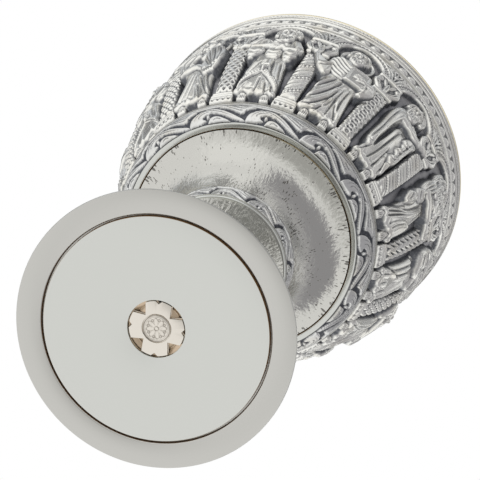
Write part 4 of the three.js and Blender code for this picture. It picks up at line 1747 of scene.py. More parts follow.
@dataclass
class Column:
    """Column between two bays: base with studs, patterned shaft, leafy capital, abacus.

    Attributes:
        pattern: Pattern of the shaft.
        half_width: Half-width of the shaft.
        base_half: Half-width of the base.
        cap_half: Half-width of the abacus.
        foot: Height of the column's foot.
        shaft_foot: Height at which the shaft starts.
        shaft_top: Height at which the shaft ends.
        top: Height of the abacus's top.
        cell: Size of a grid cell.
    """

    pattern: Pattern
    half_width: float = 4.1
    base_half: float = 5.3
    cap_half: float = 5.6
    foot: float = 131.3
    shaft_foot: float = 137.4
    shaft_top: float = 173.4
    top: float = 187.0
    cell: float = 0.22

    def chase(self) -> Relief:
        """Returns the column as a relief, its middle at x = 0."""
        relief = Relief(-7.2, 7.2, self.foot - 0.4, self.top + 0.6, self.cell, hollow=0.11)
        for low, high, half, depth, roll in (
            (self.foot, 134.0, self.base_half, 2.7, False),
            (134.1, 135.6, self.base_half - 0.1, 2.7, True),
            (135.7, 137.3, self.base_half - 0.5, 2.5, True),
        ):
            self._block(relief, low, high, half, depth, roll)
        shaft = [
            (-self.half_width, self.shaft_foot),
            (-self.half_width, self.shaft_top),
            (self.half_width, self.shaft_top),
            (self.half_width, self.shaft_foot),
        ]
        relief.form(shaft, 1.9, 2.6, 0.6, smooth=False)
        self._shaft(relief)
        self._block(relief, self.shaft_top, 175.4, self.half_width + 0.7, 2.9, round_face=True)
        self._capital(relief)
        self._block(relief, 184.9, self.top, self.cap_half, 3.3, round_face=True)
        studs = [(-self.base_half + 0.4, 132.5), (self.base_half - 0.4, 132.5)]
        relief.beads(studs, 2.3, 0.62, -1.3)
        for seam, width, depth in ((134.05, 0.3, 0.6), (135.65, 0.25, 0.5)):
            relief.stroke([(-self.base_half, seam), (self.base_half, seam)], width, -depth, ends=(0, 0))
        return relief.soften(0.09)

    @staticmethod
    def _block(
        relief: Relief, low: float, high: float, half: float, depth: float, round_face: bool = False
    ) -> None:
        """Raises a moulding right across the column.

        Args:
            relief: Relief that gets it.
            low: Height of its foot.
            high: Height of its top.
            half: Half-width.
            depth: Depth of its face.
            round_face: Whether the face is a roll instead of flat.
        """
        corners = [(-half, low), (-half, high), (half, high), (half, low)]
        rise = (high - low) / 2 if round_face else 0.45
        relief.form(corners, rise, rise, depth - rise, smooth=False)

    def _shaft(self, relief: Relief) -> None:
        """Chases the shaft's pattern.

        Args:
            relief: Relief that gets it.
        """
        x, y = relief.x, relief.y
        inside = np.clip((self.half_width - np.abs(x)) / 0.5, 0, 1)
        inside *= np.clip((y - self.shaft_foot) / 0.4, 0, 1) * np.clip((self.shaft_top - y) / 0.4, 0, 1)
        span = self.half_width * 2
        rise = y - self.shaft_foot
        around = np.arcsin(np.clip(x / (self.half_width * 1.12), -1, 1)) * self.half_width * 0.95
        if self.pattern is Pattern.RINGS:
            # Nine bosses in a ring each, with crossed lines between them.
            pitch = (self.shaft_top - self.shaft_foot) / 9
            step = (rise / pitch) % 1 - 0.5
            ring = np.hypot(around, step * pitch)
            carve = np.exp(-(((ring - 1.15) / 0.36) ** 2)) - 0.9 * np.exp(-((ring / 0.5) ** 2))
            for way in (-1, 1):
                cross = ((around * way + rise) / pitch) % 1 - 0.5
                line = np.exp(-((cross * pitch * 0.7 / 0.3) ** 2)) * np.clip((ring - 1.3) / 0.3, 0, 1)
                carve = np.maximum(carve, line * 0.85)
            carve = 0.5 * carve - 0.28
        elif self.pattern is Pattern.STRIPES:
            # Slanting bands with a row of dots, and flutes between them.
            band = (rise + 0.85 * around) / 8.6 % 1
            dots = (around * 0.75 - rise * 0.62) / 1.05 % 1 - 0.5
            line = np.exp(-(((band - 0.5) * 8.6 / 0.5) ** 2)) * np.exp(-((dots * 1.05 / 0.3) ** 2))
            edges = np.exp(-(((np.abs(band - 0.5) - 0.13) * 8.6 / 0.32) ** 2))
            flutes = np.sin((band - 0.75) * 2 * np.pi * 3) * (np.abs(band - 0.5) > 0.2)
            carve = 0.3 * edges - 0.75 * line + 0.16 * flutes - 0.25 * (np.abs(band - 0.5) < 0.1)
        elif self.pattern is Pattern.ZIGZAG:
            # Chevrons with a groove between two rows.
            zig = np.abs((around / 2.9) % 1 - 0.5) * 2.9 * 1.6
            teeth = (rise + zig) / 3.4 % 1
            carve = 0.42 * np.cos(teeth * 2 * np.pi) - 0.55 * np.exp(-(((teeth - 0.5) / 0.13) ** 2))
        elif self.pattern is Pattern.PEBBLES:
            # Round pebbles, each row half a step on.
            row = rise / 2.3
            shift = np.floor(row) % 2 * 0.5
            u, v = (around / 2.5 + shift) % 1 - 0.5, row % 1 - 0.5
            carve = 0.75 * np.sqrt(np.clip(1 - (np.hypot(u * 2.5, v * 2.3) / 1.1) ** 2, 0, None)) - 0.4
        elif self.pattern is Pattern.LATTICE:
            # Plaited strips with lozenge holes.
            u, v = (around + rise * 0.62) / 2.5 % 1 - 0.5, (around - rise * 0.62) / 2.5 % 1 - 0.5
            hole = np.maximum(np.abs(u), np.abs(v))
            carve = 0.3 - 0.95 * np.clip((0.3 - hole) / 0.12, 0, 1)
        else:
            # Spiral: a string of knots between two ribs, and flutes between the turns.
            band = (rise - 0.75 * around) / 9.6 % 1
            bead = (around * 0.8 + rise * 0.6) / 1.5 % 1 - 0.5
            line = np.abs(band - 0.5) * 9.6
            knots = np.sqrt(np.clip(1 - (np.hypot(bead * 1.5, line) / 0.78) ** 2, 0, None))
            rims = np.exp(-(((line - 1.25) / 0.3) ** 2))
            plain = 0.16 * np.sin((band - 0.9) * 2 * np.pi * 3) * (line > 1.7)
            carve = 0.6 * knots + 0.35 * rims - 0.35 * (line < 1.3) + plain
        relief.depth += carve * inside
        edge = span / 2 - 0.25
        for side in (-edge, edge):
            relief.stroke([(side, self.shaft_foot), (side, self.shaft_top)], 0.3, 0.22, ends=(0, 0))

    def _capital(self, relief: Relief) -> None:
        """Chases the capital: a leaf in the middle and two that curl out under the abacus.

        Args:
            relief: Relief that gets it.
        """
        low, high = 175.4, 185.0
        bell = [(-4.0, low), (-4.4, 179.5), (-5.4, high), (5.4, high), (4.4, 179.5), (4.0, low)]
        relief.form(bell, 1.2, 1.5, 0.7, smooth=False)
        for side in (-1, 1):
            leaf = [(side * 0.9, low + 0.3), (side * 3.4, 177.6), (side * 4.9, 180.6), (side * 4.6, 183.7)]
            relief.limb(leaf, (1.0, 1.5, 1.7, 1.1), 1.7, 0.75)
            relief.stroke([(side * 1.4, low + 0.6), (side * 3.6, 178.4), (side * 4.7, 181.6)], 0.32, -0.7)
            relief.dome((side * 4.3, 183.2), (1.35, 1.35), 1.0, 2.2)
            relief.beads([(side * 4.3, 183.1), (side * 4.3, 183.3)], 1.0, 0.55, -0.9)
            relief.limb(
                [(side * 0.7, 180.5), (side * 1.6, 182.9), (side * 2.4, 184.2)], (0.6, 0.8, 0.9), 2.0, 0.8
            )
        relief.limb([(0, low + 0.2), (0, 179.6), (0, 182.8)], (0.9, 1.25, 0.5), 2.2, 0.9)
        relief.stroke([(0, low + 0.8), (0, 182.4)], 0.22, -0.55)


@dataclass
class Arcade:
    """Arches over the bays with a pebbled band, and palmettes in the spandrels.

    Attributes:
        bays: Number of bays.
        foot: Height of the springing.
        top: Height of the topmost ridge's upper edge.
        inner: Half-width of an opening.
        outer: Radius of the arch's outer ridge; not used.
        crown: Height of the opening's crown.
        depth: How far the arches stand out.
        cell: Size of a grid cell.
    """

    bays: int
    foot: float = 186.9
    top: float = 199.2
    inner: float = 8.8
    outer: float = 12.2
    crown: float = 195.5
    depth: float = 2.3
    cell: float = 0.24

    def build(self) -> bpy.types.Object:
        """Returns the ring of arches, with a column's middle line at the first copy's edge."""
        span = math.tau * WALL.reference / self.bays
        relief = Relief(0, span, self.foot, self.top, self.cell, wrap=True, hollow=0.14)
        middle, centre = span / 2, self.crown - self.inner
        x, y = relief.x - middle, relief.y
        away = np.hypot(x, y - centre)
        solid = np.clip((away - self.inner) / 0.35, 0, 1)
        relief.depth = BURIED + (self.depth - 0.5 - BURIED) * np.sqrt(solid)
        out = away - self.inner
        ring = np.sqrt(np.clip(1 - ((out - 0.75) / 0.75) ** 2, 0, None)) * 0.6
        ring += np.exp(-(((out - 3.5) / 0.42) ** 2)) * 0.6
        angle = np.arctan2(y - centre, x)
        strip = (np.abs(out - 2.15) < 0.95) * (0.32 * np.cos(angle * 46) * np.cos((out - 2.15) * 2.4) - 0.12)
        relief.depth += (ring + strip) * solid
        spandrel = np.clip((out - 3.9) / 0.3, 0, 1)
        relief.depth -= 0.55 * spandrel
        for side in (0.0, span):
            self._palmette(relief, side)
        relief.depth += 0.7 * np.exp(-(((y - self.top + 0.35) / 0.4) ** 2)) * spandrel
        relief.soften(0.09)
        inner = [(56.9, self.top), (56.9, self.foot)]
        return relief_ring("arcade_chased", relief, self.bays, WALL.radius, inner, CHASED, COLUMN_AZIMUTH)

    def _palmette(self, relief: Relief, x: float) -> None:
        """Chases the leaf in a spandrel: two long stalks in a V and five lobes between them.

        Args:
            relief: Relief that gets it.
            x: Its middle line.
        """
        for side in (-1, 1):
            for line, width, height, ends in (
                ([(0.45, 187.6), (1.1, 190.5), (2.7, 194.5), (5.0, 198.0)], 0.65, 1.0, (0.1, 0.3)),
                ([(0.9, 191.5), (2.6, 196.6), (4.0, 198.3)], 0.6, 0.9, (0.25, 0.25)),
                ([(0.5, 192.6), (1.3, 196.4), (2.3, 198.4)], 0.62, 0.95, (0.25, 0.25)),
                ([(1.3, 194.0), (2.2, 197.3)], 0.22, -0.8, (0.25, 0.25)),
            ):
                relief.stroke([(x + side * u, v) for u, v in line], width, height, ends)
        relief.stroke([(x, 188.2), (x, 193.0), (x, 198.4)], 0.62, 1.0, ends=(0.5, 0.15))


class Hair(Enum):
    """How a figure wears hair and beard."""

    SHORT = "short hair and a short beard"
    BUSHY = "bushy hair and a full beard"
    LONG = "long locks and a full beard"
    YOUNG = "short curls without a beard"


# Directions, all the way round, of the points of a halo's ring.
RING = [math.radians(a) for a in range(0, 361, 20)]


@dataclass
class Head:
    """Head with a calm, plain face of ordinary proportions.

    Attributes:
        x: Middle of the head.
        z: Height of its middle, which is the line of the eyes.
        tilt: Lean to the left in degrees.
        turn: How far the face looks aside, in mm, to the right where positive.
        hair: Style of hair and beard.
        halo: Radius of the disc behind it, or 0 for none.
    """

    x: float
    z: float
    tilt: float = 0.0
    turn: float = 0.0
    hair: Hair = Hair.SHORT
    halo: float = 0.0

    def _at(self, points: Points, turned: float = 0.0, side: int = 1) -> list[tuple[float, float]]:
        """Places points given from the head's middle.

        Args:
            points: Points with the head upright, x to the right.
            turned: Share of the face's turn that they take.
            side: 1 for the points as given, -1 for their mirror image on the left.

        Returns:
            The points on the canvas.
        """
        turn = math.radians(self.tilt)
        shift = self.turn * turned
        return [
            (
                self.x + (side * u + shift) * math.cos(turn) - v * math.sin(turn),
                self.z + (side * u + shift) * math.sin(turn) + v * math.cos(turn),
            )
            for u, v in points
        ]

    def chase(self, relief: Relief) -> None:
        """Adds the head to a relief.

        Args:
            relief: Relief that gets it.
        """
        if self.halo:
            middle = self._at([(0, 1.2)])[0]
            relief.dome(middle, (self.halo, self.halo), 0.25, 0.9)
            for inset, height in ((0.5, 0.6), (1.7, -0.3)):
                reach = self.halo - inset
                ring = [(math.cos(a) * reach, 1.2 + math.sin(a) * reach) for a in RING]
                relief.stroke(self._at(ring), 0.45, height, ends=(0, 0))
        relief.limb(self._at([(0, -3.5), (0, -8.0)]), (2.4, 2.8), 1.4, 0.8)
        relief.dome(self._at([(0, 1.4)])[0], (4.5, 5.5), 2.5, 1.2, self.tilt, 0.06)
        relief.dome(self._at([(0, -0.1)], 0.6)[0], (3.5, 5.2), 2.3, 2.5, self.tilt, 0.11)
        self._face(relief)
        self._hair(relief)
        if self.hair is not Hair.YOUNG:
            self._beard(relief)
        self._mouth(relief)

    def _face(self, relief: Relief) -> None:
        """Chases brows, eyes, nose, cheeks and chin.

        Args:
            relief: Relief that gets them.
        """
        for side in (-1, 1):
            socket = self._at([(0.6, 0.25), (1.5, 0.35), (2.5, 0.1)], 1, side)
            brow = self._at([(0.35, 1.2), (1.4, 1.75), (2.7, 1.0)], 1, side)
            eyeball = self._at([(1.45, 0.25), (1.55, 0.25)], 1, side)
            lid = self._at([(0.8, 0.1), (1.5, -0.05), (2.2, 0.1)], 1, side)
            cheek = self._at([(1.95, -1.6), (2.05, -1.6)], 1, side)
            nostril = self._at([(0.15, -1.75), (0.8, -1.6)], 1, side)
            relief.stroke(socket, 1.0, -0.75, ends=(0.3, 0.3))
            relief.stroke(brow, 0.5, 0.5)
            relief.beads(eyeball, 1.0, 0.8, 0.65)
            relief.stroke(lid, 0.2, -0.35)
            relief.beads(cheek, 1.0, 1.4, 0.35)
            relief.stroke(nostril, 0.4, 0.4, ends=(0, 0.5))
        nose = self._at([(0, 1.3), (0, -0.5), (0, -1.7)], 1)
        chin = self._at([(-0.03, -4.3), (0.03, -4.3)], 1)
        relief.stroke(nose, 0.72, 1.05, ends=(0.5, 0.1))
        relief.beads(chin, 1.0, 1.0, 0.5)

    def _mouth(self, relief: Relief) -> None:
        """Chases the closed mouth and the lower lip."""
        relief.stroke(self._at([(-1.1, -3.15), (0, -3.0), (1.1, -3.15)], 1), 0.28, -0.5)
        relief.stroke(self._at([(-0.75, -3.62), (0, -3.7), (0.75, -3.62)], 1), 0.36, 0.4)

    def _hair(self, relief: Relief) -> None:
        """Chases the hair.

        Args:
            relief: Relief that gets it.
        """
        bushy = self.hair is Hair.BUSHY
        wide = 4.5 if bushy else 3.9
        ear = wide * 0.9
        lock = [(1.2, 6.0), (4.2, 3.2), (5.0, -1.5), (4.4, -6.5)]
        cap = [(0.3, 4.9), (2.2, 4.4), (wide * 0.88, 2.2), (wide * 0.92, -1.0)]
        if self.hair is Hair.LONG:
            for side in (-1, 1):
                relief.limb(self._at(lock, 0, side), (1.2, 1.8, 1.7, 1.0), 2.0, 0.85)
                for k in (-0.75, 0.1, 0.9):
                    relief.stroke(self._at([(u + k, v) for u, v in lock], 0, side), 0.28, -0.5)
        for side in (-1, 1):
            relief.limb(self._at(cap, 0, side), (1.3, 1.4, 1.2, 0.8), 2.8, 0.9)
            for k in (-0.9, -0.3, 0.35, 0.95):
                strand = [(u + k * 0.75, v + k * 0.9) for u, v in cap]
                relief.stroke(self._at(strand, 0, side), 0.24, -0.5, ends=(0.1, 0.2))
            relief.dome(self._at([(ear, -0.6)], 0, side)[0], (1.1, 1.2), 0.5, 3.4)
            relief.stroke(self._at([(ear - 0.5, -1.0), (ear + 0.4, -0.4)], 0, side), 0.2, -0.4)
            if bushy:
                # Both rows of curls lie on the right, one outside the other.
                curls = [(u + side * 0.9, v + 0.9) for u, v in cap]
                relief.beads(self._at(curls), 1.35, 0.7, 0.55)

    def _beard(self, relief: Relief) -> None:
        """Chases the beard and moustache.

        Args:
            relief: Relief that gets them.
        """
        length = {Hair.SHORT: 2.4, Hair.BUSHY: 3.4, Hair.LONG: 4.2}[self.hair]
        tip = -4.7 - length
        outline = [
            (-3.4, -0.6), (-3.4, -3.8), (-2.2, tip + 1.2), (0, tip), (2.2, tip + 1.2), (3.4, -3.8),
            (3.4, -0.6),
        ]
        outline += [(2.5, -2.2), (0, -2.9), (-2.5, -2.2)]
        relief.form(self._at(outline, 1), 1.5, 1.5, 3.2)
        for k in range(-3, 4):
            u = k * 0.8
            strand = [
                (u * 1.1, -4.4 + abs(u) * 0.8), (u * 1.25 + 0.15, -5.4), (u * 0.8, tip + 0.9 + abs(u) * 0.4)
            ]
            relief.stroke(self._at(strand, 1), 0.25, -0.42, ends=(0.15, 0.3))
        for side in (-1, 1):
            moustache = self._at([(0.1, -2.3), (1.5, -2.6), (2.5, -3.9)], 1, side)
            relief.stroke(moustache, 0.52, 0.45)


@dataclass
class Figure:
    """Standing figure in a robe, in the middle of a bay: the parts that all figures share.

    Attributes:
        floor: Height of the ledge that it stands on.
        cell: Size of a grid cell.
    """

    floor: float = 131.3
    cell: float = 0.23

    def chase(self) -> Relief:
        """Returns the figure as a relief, the bay's middle line at x = 0."""
        relief = Relief(-17.0, 17.0, self.floor - 0.2, 195.0, self.cell)
        self._dress(relief)
        self._feet(relief)
        relief.soften(0.12)
        self.head().chase(relief)
        return relief.soften(0.08)

    def head(self) -> Head:
        """Returns the figure's head."""
        raise NotImplementedError

    def _dress(self, relief: Relief) -> None:
        """Chases robe, cloak, arms and hands.

        Args:
            relief: Relief that gets them.
        """
        raise NotImplementedError

    def _feet(self, relief: Relief, places: Points = ((-4.8, 14), (4.9, -14))) -> None:
        """Sets two feet on the ledge.

        Args:
            relief: Relief that gets them.
            places: For each foot its middle and how far it turns, in degrees.
        """
        for x, aside in places:
            relief.dome((x, self.floor + 3.2), (2.2, 3.1), 1.7, 1.3, aside)
            lean = math.tan(math.radians(aside))
            for toe in range(5):
                u = x - 1.64 + toe * 0.82
                relief.limb([(u, self.floor + 2.4), (u - lean, self.floor + 0.7)], (0.44, 0.46), 2.5, 1.0)
            for toe in range(4):
                u = x - 1.23 + toe * 0.82
                relief.stroke([(u, self.floor + 2.9), (u - lean, self.floor + 0.3)], 0.2, -0.9, ends=(0.3, 0))
            arch = [(x - 2.5, self.floor + 3.2), (x, self.floor + 4.5), (x + 2.5, self.floor + 3.2)]
            relief.stroke(arch, 0.45, -1.3, ends=(0.1, 0.1))

    @staticmethod
    def _hem(relief: Relief, left: float, right: float, height: float = 136.0) -> None:
        """Waves the robe's lower edge.

        Args:
            relief: Relief that gets it.
            left: Where the hem starts.
            right: Where it ends.
            height: Height of the hem.
        """
        waves = 4
        width = (right - left) / waves
        for k in range(waves):
            relief.dome((left + (k + 0.5) * width, height + 0.6), (width * 0.62, 1.9), 0.75, 2.6)

    @staticmethod
    def _hand(
        relief: Relief, x: float, y: float, angle: float, reach: float, size: float = 1.0, fingers: int = 4
    ) -> None:
        """Adds a hand.

        Args:
            relief: Relief that gets it.
            x: Middle of the palm.
            y: Middle of the palm.
            angle: Where the fingers point, in degrees from the right.
            reach: Depth of the palm's edge.
            size: Scale.
            fingers: How many fingers are held straight.
        """
        turn = math.radians(angle)
        ux, uy = math.cos(turn) * size, math.sin(turn) * size
        relief.dome((x, y), (1.9 * size, 1.7 * size), 1.0, reach, angle)
        for k in range(4):
            off = (k - 1.5) * 0.86
            length = 4.2 - 0.3 * abs(k - 1.5) if k < fingers else 2.4
            start = (x + ux * 0.8 - uy * off, y + uy * 0.8 + ux * off)
            end = (x + ux * length - uy * off * 1.1, y + uy * length + ux * off * 1.1)
            relief.limb([start, end], (0.5 * size, 0.42 * size), reach + 0.3, 1.0)
            if k:
                gap = [(px + uy * 0.43, py - ux * 0.43) for px, py in (start, end)]
                relief.stroke(gap, 0.2 * size, -0.45, ends=(0.3, 0))
        thumb = [(x - uy * 1.3, y + ux * 1.3), (x + ux * 1.4 - uy * 2.4, y + uy * 1.4 + ux * 2.4)]
        relief.limb(thumb, (0.6 * size, 0.5 * size), reach + 0.2, 1.0)

    @staticmethod
    def _cuff(relief: Relief, a: tuple[float, float], b: tuple[float, float], depth: float = 0.55) -> None:
        """Marks the edge of a sleeve with a groove.

        Args:
            relief: Relief that gets it.
            a: Where the groove starts.
            b: Where it ends.
            depth: Depth of the groove.
        """
        middle = ((a[0] + b[0]) / 2 + (b[1] - a[1]) * 0.18, (a[1] + b[1]) / 2 - (b[0] - a[0]) * 0.18)
        relief.stroke([a, middle, b], 0.3, -depth, ends=(0.1, 0.1))


class BookBearer(Figure):
    """Figure with a book in the left arm and the right hand raised in blessing."""

    def head(self) -> Head:
        """Returns the figure's head."""
        return Head(-0.2, 182.6, tilt=-3, hair=Hair.SHORT, halo=7.4)

    def _dress(self, relief: Relief) -> None:
        """Chases robe, cloak, arms and hands.

        Args:
            relief: Relief that gets them.
        """
        robe = [
            (-6.5, 176.5), (-9.0, 173.0), (-8.8, 166.0), (-7.6, 158.0), (-8.2, 150.0), (-8.8, 142.0),
            (-9.4, 136.5), (-8.4, 135.2), (-4.6, 136.6), (0.0, 135.4), (4.6, 136.6), (8.8, 135.4),
            (9.6, 138.0), (8.3, 147.0), (7.4, 156.0), (8.6, 163.0), (10.2, 170.0), (8.6, 175.0),
            (4.5, 177.5), (-2.0, 177.8),
        ]
        relief.form(robe, 2.1, 3.0, 1.1)
        self._hem(relief, -9.0, 9.2)
        relief.folds(
            [(5.6, 160), (5.4, 150), (6.4, 142), (8.0, 136)],
            [(1.6, 156), (1.0, 149), (0.2, 142), (-1.0, 135.6)], 3, 2.6, 0.7,
        )
        relief.fold([(-8.6, 137.4), (-4.6, 140.4), (-0.6, 147.6), (1.2, 156.0)], 3.4, 0.95)
        relief.fold([(-8.8, 142.4), (-5.4, 146.0), (-2.2, 152.4), (0.2, 160.4)], 3.2, 0.95)
        relief.fold([(-8.4, 150.0), (-5.6, 154.0), (-2.4, 160.6)], 2.6, 0.8)
        relief.fold([(-6.4, 135.4), (-2.4, 138.0), (0.2, 142.6), (1.0, 147.6)], 2.8, 0.8)
        relief.fold([(7.6, 137.6), (4.4, 143.0), (2.2, 149.6)], 2.2, -0.7)
        cloak = [
            (-9.0, 173.5), (-6.4, 177.6), (-3.4, 177.9), (1.5, 170.4), (1.4, 163.2), (-2.6, 161.0),
            (-7.6, 165.2),
        ]
        relief.layer(cloak, 0.9, 0.5)
        relief.folds(
            [(-6.9, 177.2), (-2.4, 172.4), (1.0, 170.0)], [(-8.6, 168.8), (-5.0, 164.4), (-1.0, 162.6)], 5,
            1.5, 0.62,
        )
        sleeve = [
            (-6.0, 166.6), (-9.0, 168.6), (-12.6, 171.8), (-14.4, 170.4), (-13.4, 166.2), (-11.2, 161.4),
            (-8.0, 158.0), (-5.6, 160.4),
        ]
        relief.form(sleeve, 1.9, 1.7, 2.6)
        relief.fold([(-12.0, 163.4), (-9.0, 164.6), (-6.6, 167.4)], 2.0, 0.5)
        self._cuff(relief, (-14.2, 168.8), (-11.0, 171.6))
        relief.limb([(-12.8, 169.6), (-13.8, 172.0)], (1.4, 1.25), 3.1, 1.0)
        self._hand(relief, -14.2, 173.2, 88, 3.5, 0.95, fingers=2)
        book = [(0.0, 161.4), (-0.2, 172.6), (8.4, 172.4), (8.6, 161.2)]
        relief.form(book, 0.35, 0.3, 4.45, smooth=False)
        relief.layer([(0.9, 162.4), (0.8, 171.7), (7.5, 171.5), (7.6, 162.2)], -0.35, 0.25, smooth=False)
        relief.stroke([(0.0, 160.9), (8.6, 160.6)], 0.5, -1.2, ends=(0, 0))
        relief.limb([(10.4, 169.4), (10.4, 163.6), (8.2, 159.6)], (2.0, 2.5, 1.6), 2.5, 0.9)
        relief.fold([(10.6, 167.4), (8.8, 163.4), (7.6, 160.0)], 2.0, 0.5)
        relief.limb([(9.8, 166.4), (7.4, 166.2)], (1.5, 1.3), 4.0, 0.85)
        self._hand(relief, 6.0, 166.4, 165, 4.6, 0.85)


class Crossed(Figure):
    """Figure that faces out with crossed hands and a stole with beaded bands."""

    def head(self) -> Head:
        """Returns the figure's head."""
        return Head(0.8, 182.4, tilt=5, hair=Hair.BUSHY)

    def _dress(self, relief: Relief) -> None:
        """Chases robe, cloak, arms and hands.

        Args:
            relief: Relief that gets them.
        """
        robe = [
            (-5.0, 177.4), (-7.4, 174.6), (-8.2, 168.0), (-7.0, 158.0), (-8.0, 150.0), (-9.0, 141.0),
            (-9.4, 135.6), (-6.4, 135.4), (-2.6, 136.6), (1.2, 135.4), (5.2, 136.6), (8.4, 135.8),
            (8.8, 141.0), (7.6, 150.0), (6.8, 158.0), (7.6, 168.0), (6.6, 175.0), (3.6, 177.6),
        ]
        relief.form(robe, 2.0, 2.8, 1.1)
        self._hem(relief, -9.0, 8.4)
        relief.folds(
            [(-2.2, 158), (-3.4, 152), (-5.6, 146)], [(-5.6, 158), (-6.6, 152), (-7.8, 148)], 2, 2.0, 0.7
        )
        relief.folds([(1.4, 158), (2.2, 152), (3.6, 146)], [(4.8, 158), (5.6, 152), (6.8, 145)], 2, 2.0, -0.7)
        relief.folds(
            [(-4.4, 142), (-5.6, 138), (-6.6, 135.4)], [(0.4, 146), (0.4, 140), (0.2, 135.6)], 2, 2.4, 0.8
        )
        relief.folds(
            [(2.4, 143), (3.4, 138), (4.4, 135.4)], [(5.4, 141), (6.4, 137), (7.4, 136.6)], 2, 2.0, -0.7
        )
        for side in (-1, 1):
            line = [(-0.8, 150.6), (-0.8 + side * 3.8, 146.4), (-0.8 + side * 8.4, 140.2)]
            wide = [(x, z + 1.5) for x, z in line]
            low = [(x, z - 1.5) for x, z in line]
            relief.layer(wide + low[::-1], 0.55, 0.4)
            relief.beads(line, 1.2, 0.45, 0.45)
            relief.stroke(wide, 0.3, 0.4, ends=(0, 0))
            relief.stroke(low, 0.34, 0.4, ends=(0, 0))
            relief.stroke([(x, z - 0.6) for x, z in low], 0.35, -0.7)
        stole = [(-1.9, 158.4), (1.6, 158.4), (1.0, 152.4), (-0.8, 150.4), (-2.2, 153.2)]
        relief.layer(stole, 0.9, 0.4)
        relief.beads([(-1.7, 154.0), (1.0, 154.0)], 0.95, 0.4, 0.4)
        relief.stroke([(-1.8, 153.3), (0.9, 153.3)], 0.22, -0.4, ends=(0, 0))
        for side in (-1, 1):
            relief.limb(
                [(side * 5.6, 175.4), (side * 7.6, 169.4), (side * 6.8, 164.6)], (2.3, 2.6, 2.0), 2.0, 0.9
            )
            relief.fold([(side * 4.8, 176.0), (side * 6.4, 170.4), (side * 6.0, 165.4)], 2.0, side * 0.6)
        cuffs = [
            [(-9.9, 168.2), (-10.7, 163.6), (-8.6, 158.6), (-5.6, 160.6), (-3.8, 165.0), (-5.2, 169.2)],
            [(-2.6, 166.2), (-3.3, 163.0), (-2.0, 160.0), (1.8, 159.6), (3.0, 162.4), (2.2, 166.2)],
            [(3.4, 166.6), (3.4, 162.0), (5.0, 158.8), (8.0, 159.8), (8.8, 164.4), (7.4, 168.2)],
        ]
        for cuff in cuffs:
            relief.form(cuff, 1.1, 1.2, 3.3)
        relief.folds(
            [(-10.2, 165.4), (-7.4, 163.4), (-5.0, 164.6)], [(-9.4, 161.0), (-7.2, 160.4), (-5.6, 161.4)], 2,
            1.7, 0.5,
        )
        relief.folds(
            [(-2.8, 164.4), (-0.2, 163.0), (2.4, 164.2)], [(-2.2, 161.6), (-0.2, 160.8), (1.9, 161.4)], 2,
            1.4, 0.4,
        )
        relief.folds(
            [(3.8, 165.0), (6.0, 163.4), (8.4, 165.4)], [(4.6, 161.4), (6.2, 160.4), (8.0, 162.0)], 2, 1.7,
            0.5,
        )
        relief.limb([(-8.8, 168.6), (-4.6, 169.0), (-1.4, 171.2)], (1.9, 1.9, 1.5), 3.1, 0.95)
        relief.limb([(7.0, 168.0), (3.2, 168.4)], (1.8, 1.5), 3.1, 0.95)
        self._hand(relief, 1.4, 169.4, 175, 4.0, 0.95)
        self._hand(relief, -1.4, 172.8, 50, 3.9, 0.8)
        relief.limb([(-8.4, 170.2), (-11.8, 171.6)], (1.5, 1.3), 2.8, 0.9)
        self._hand(relief, -12.6, 171.8, 165, 3.2, 0.85)
        relief.folds(
            [(-4.2, 176.6), (-1.6, 173.8), (1.0, 173.4)], [(-3.4, 178.6), (0.0, 176.6), (3.6, 176.8)], 3, 1.2,
            0.45,
        )


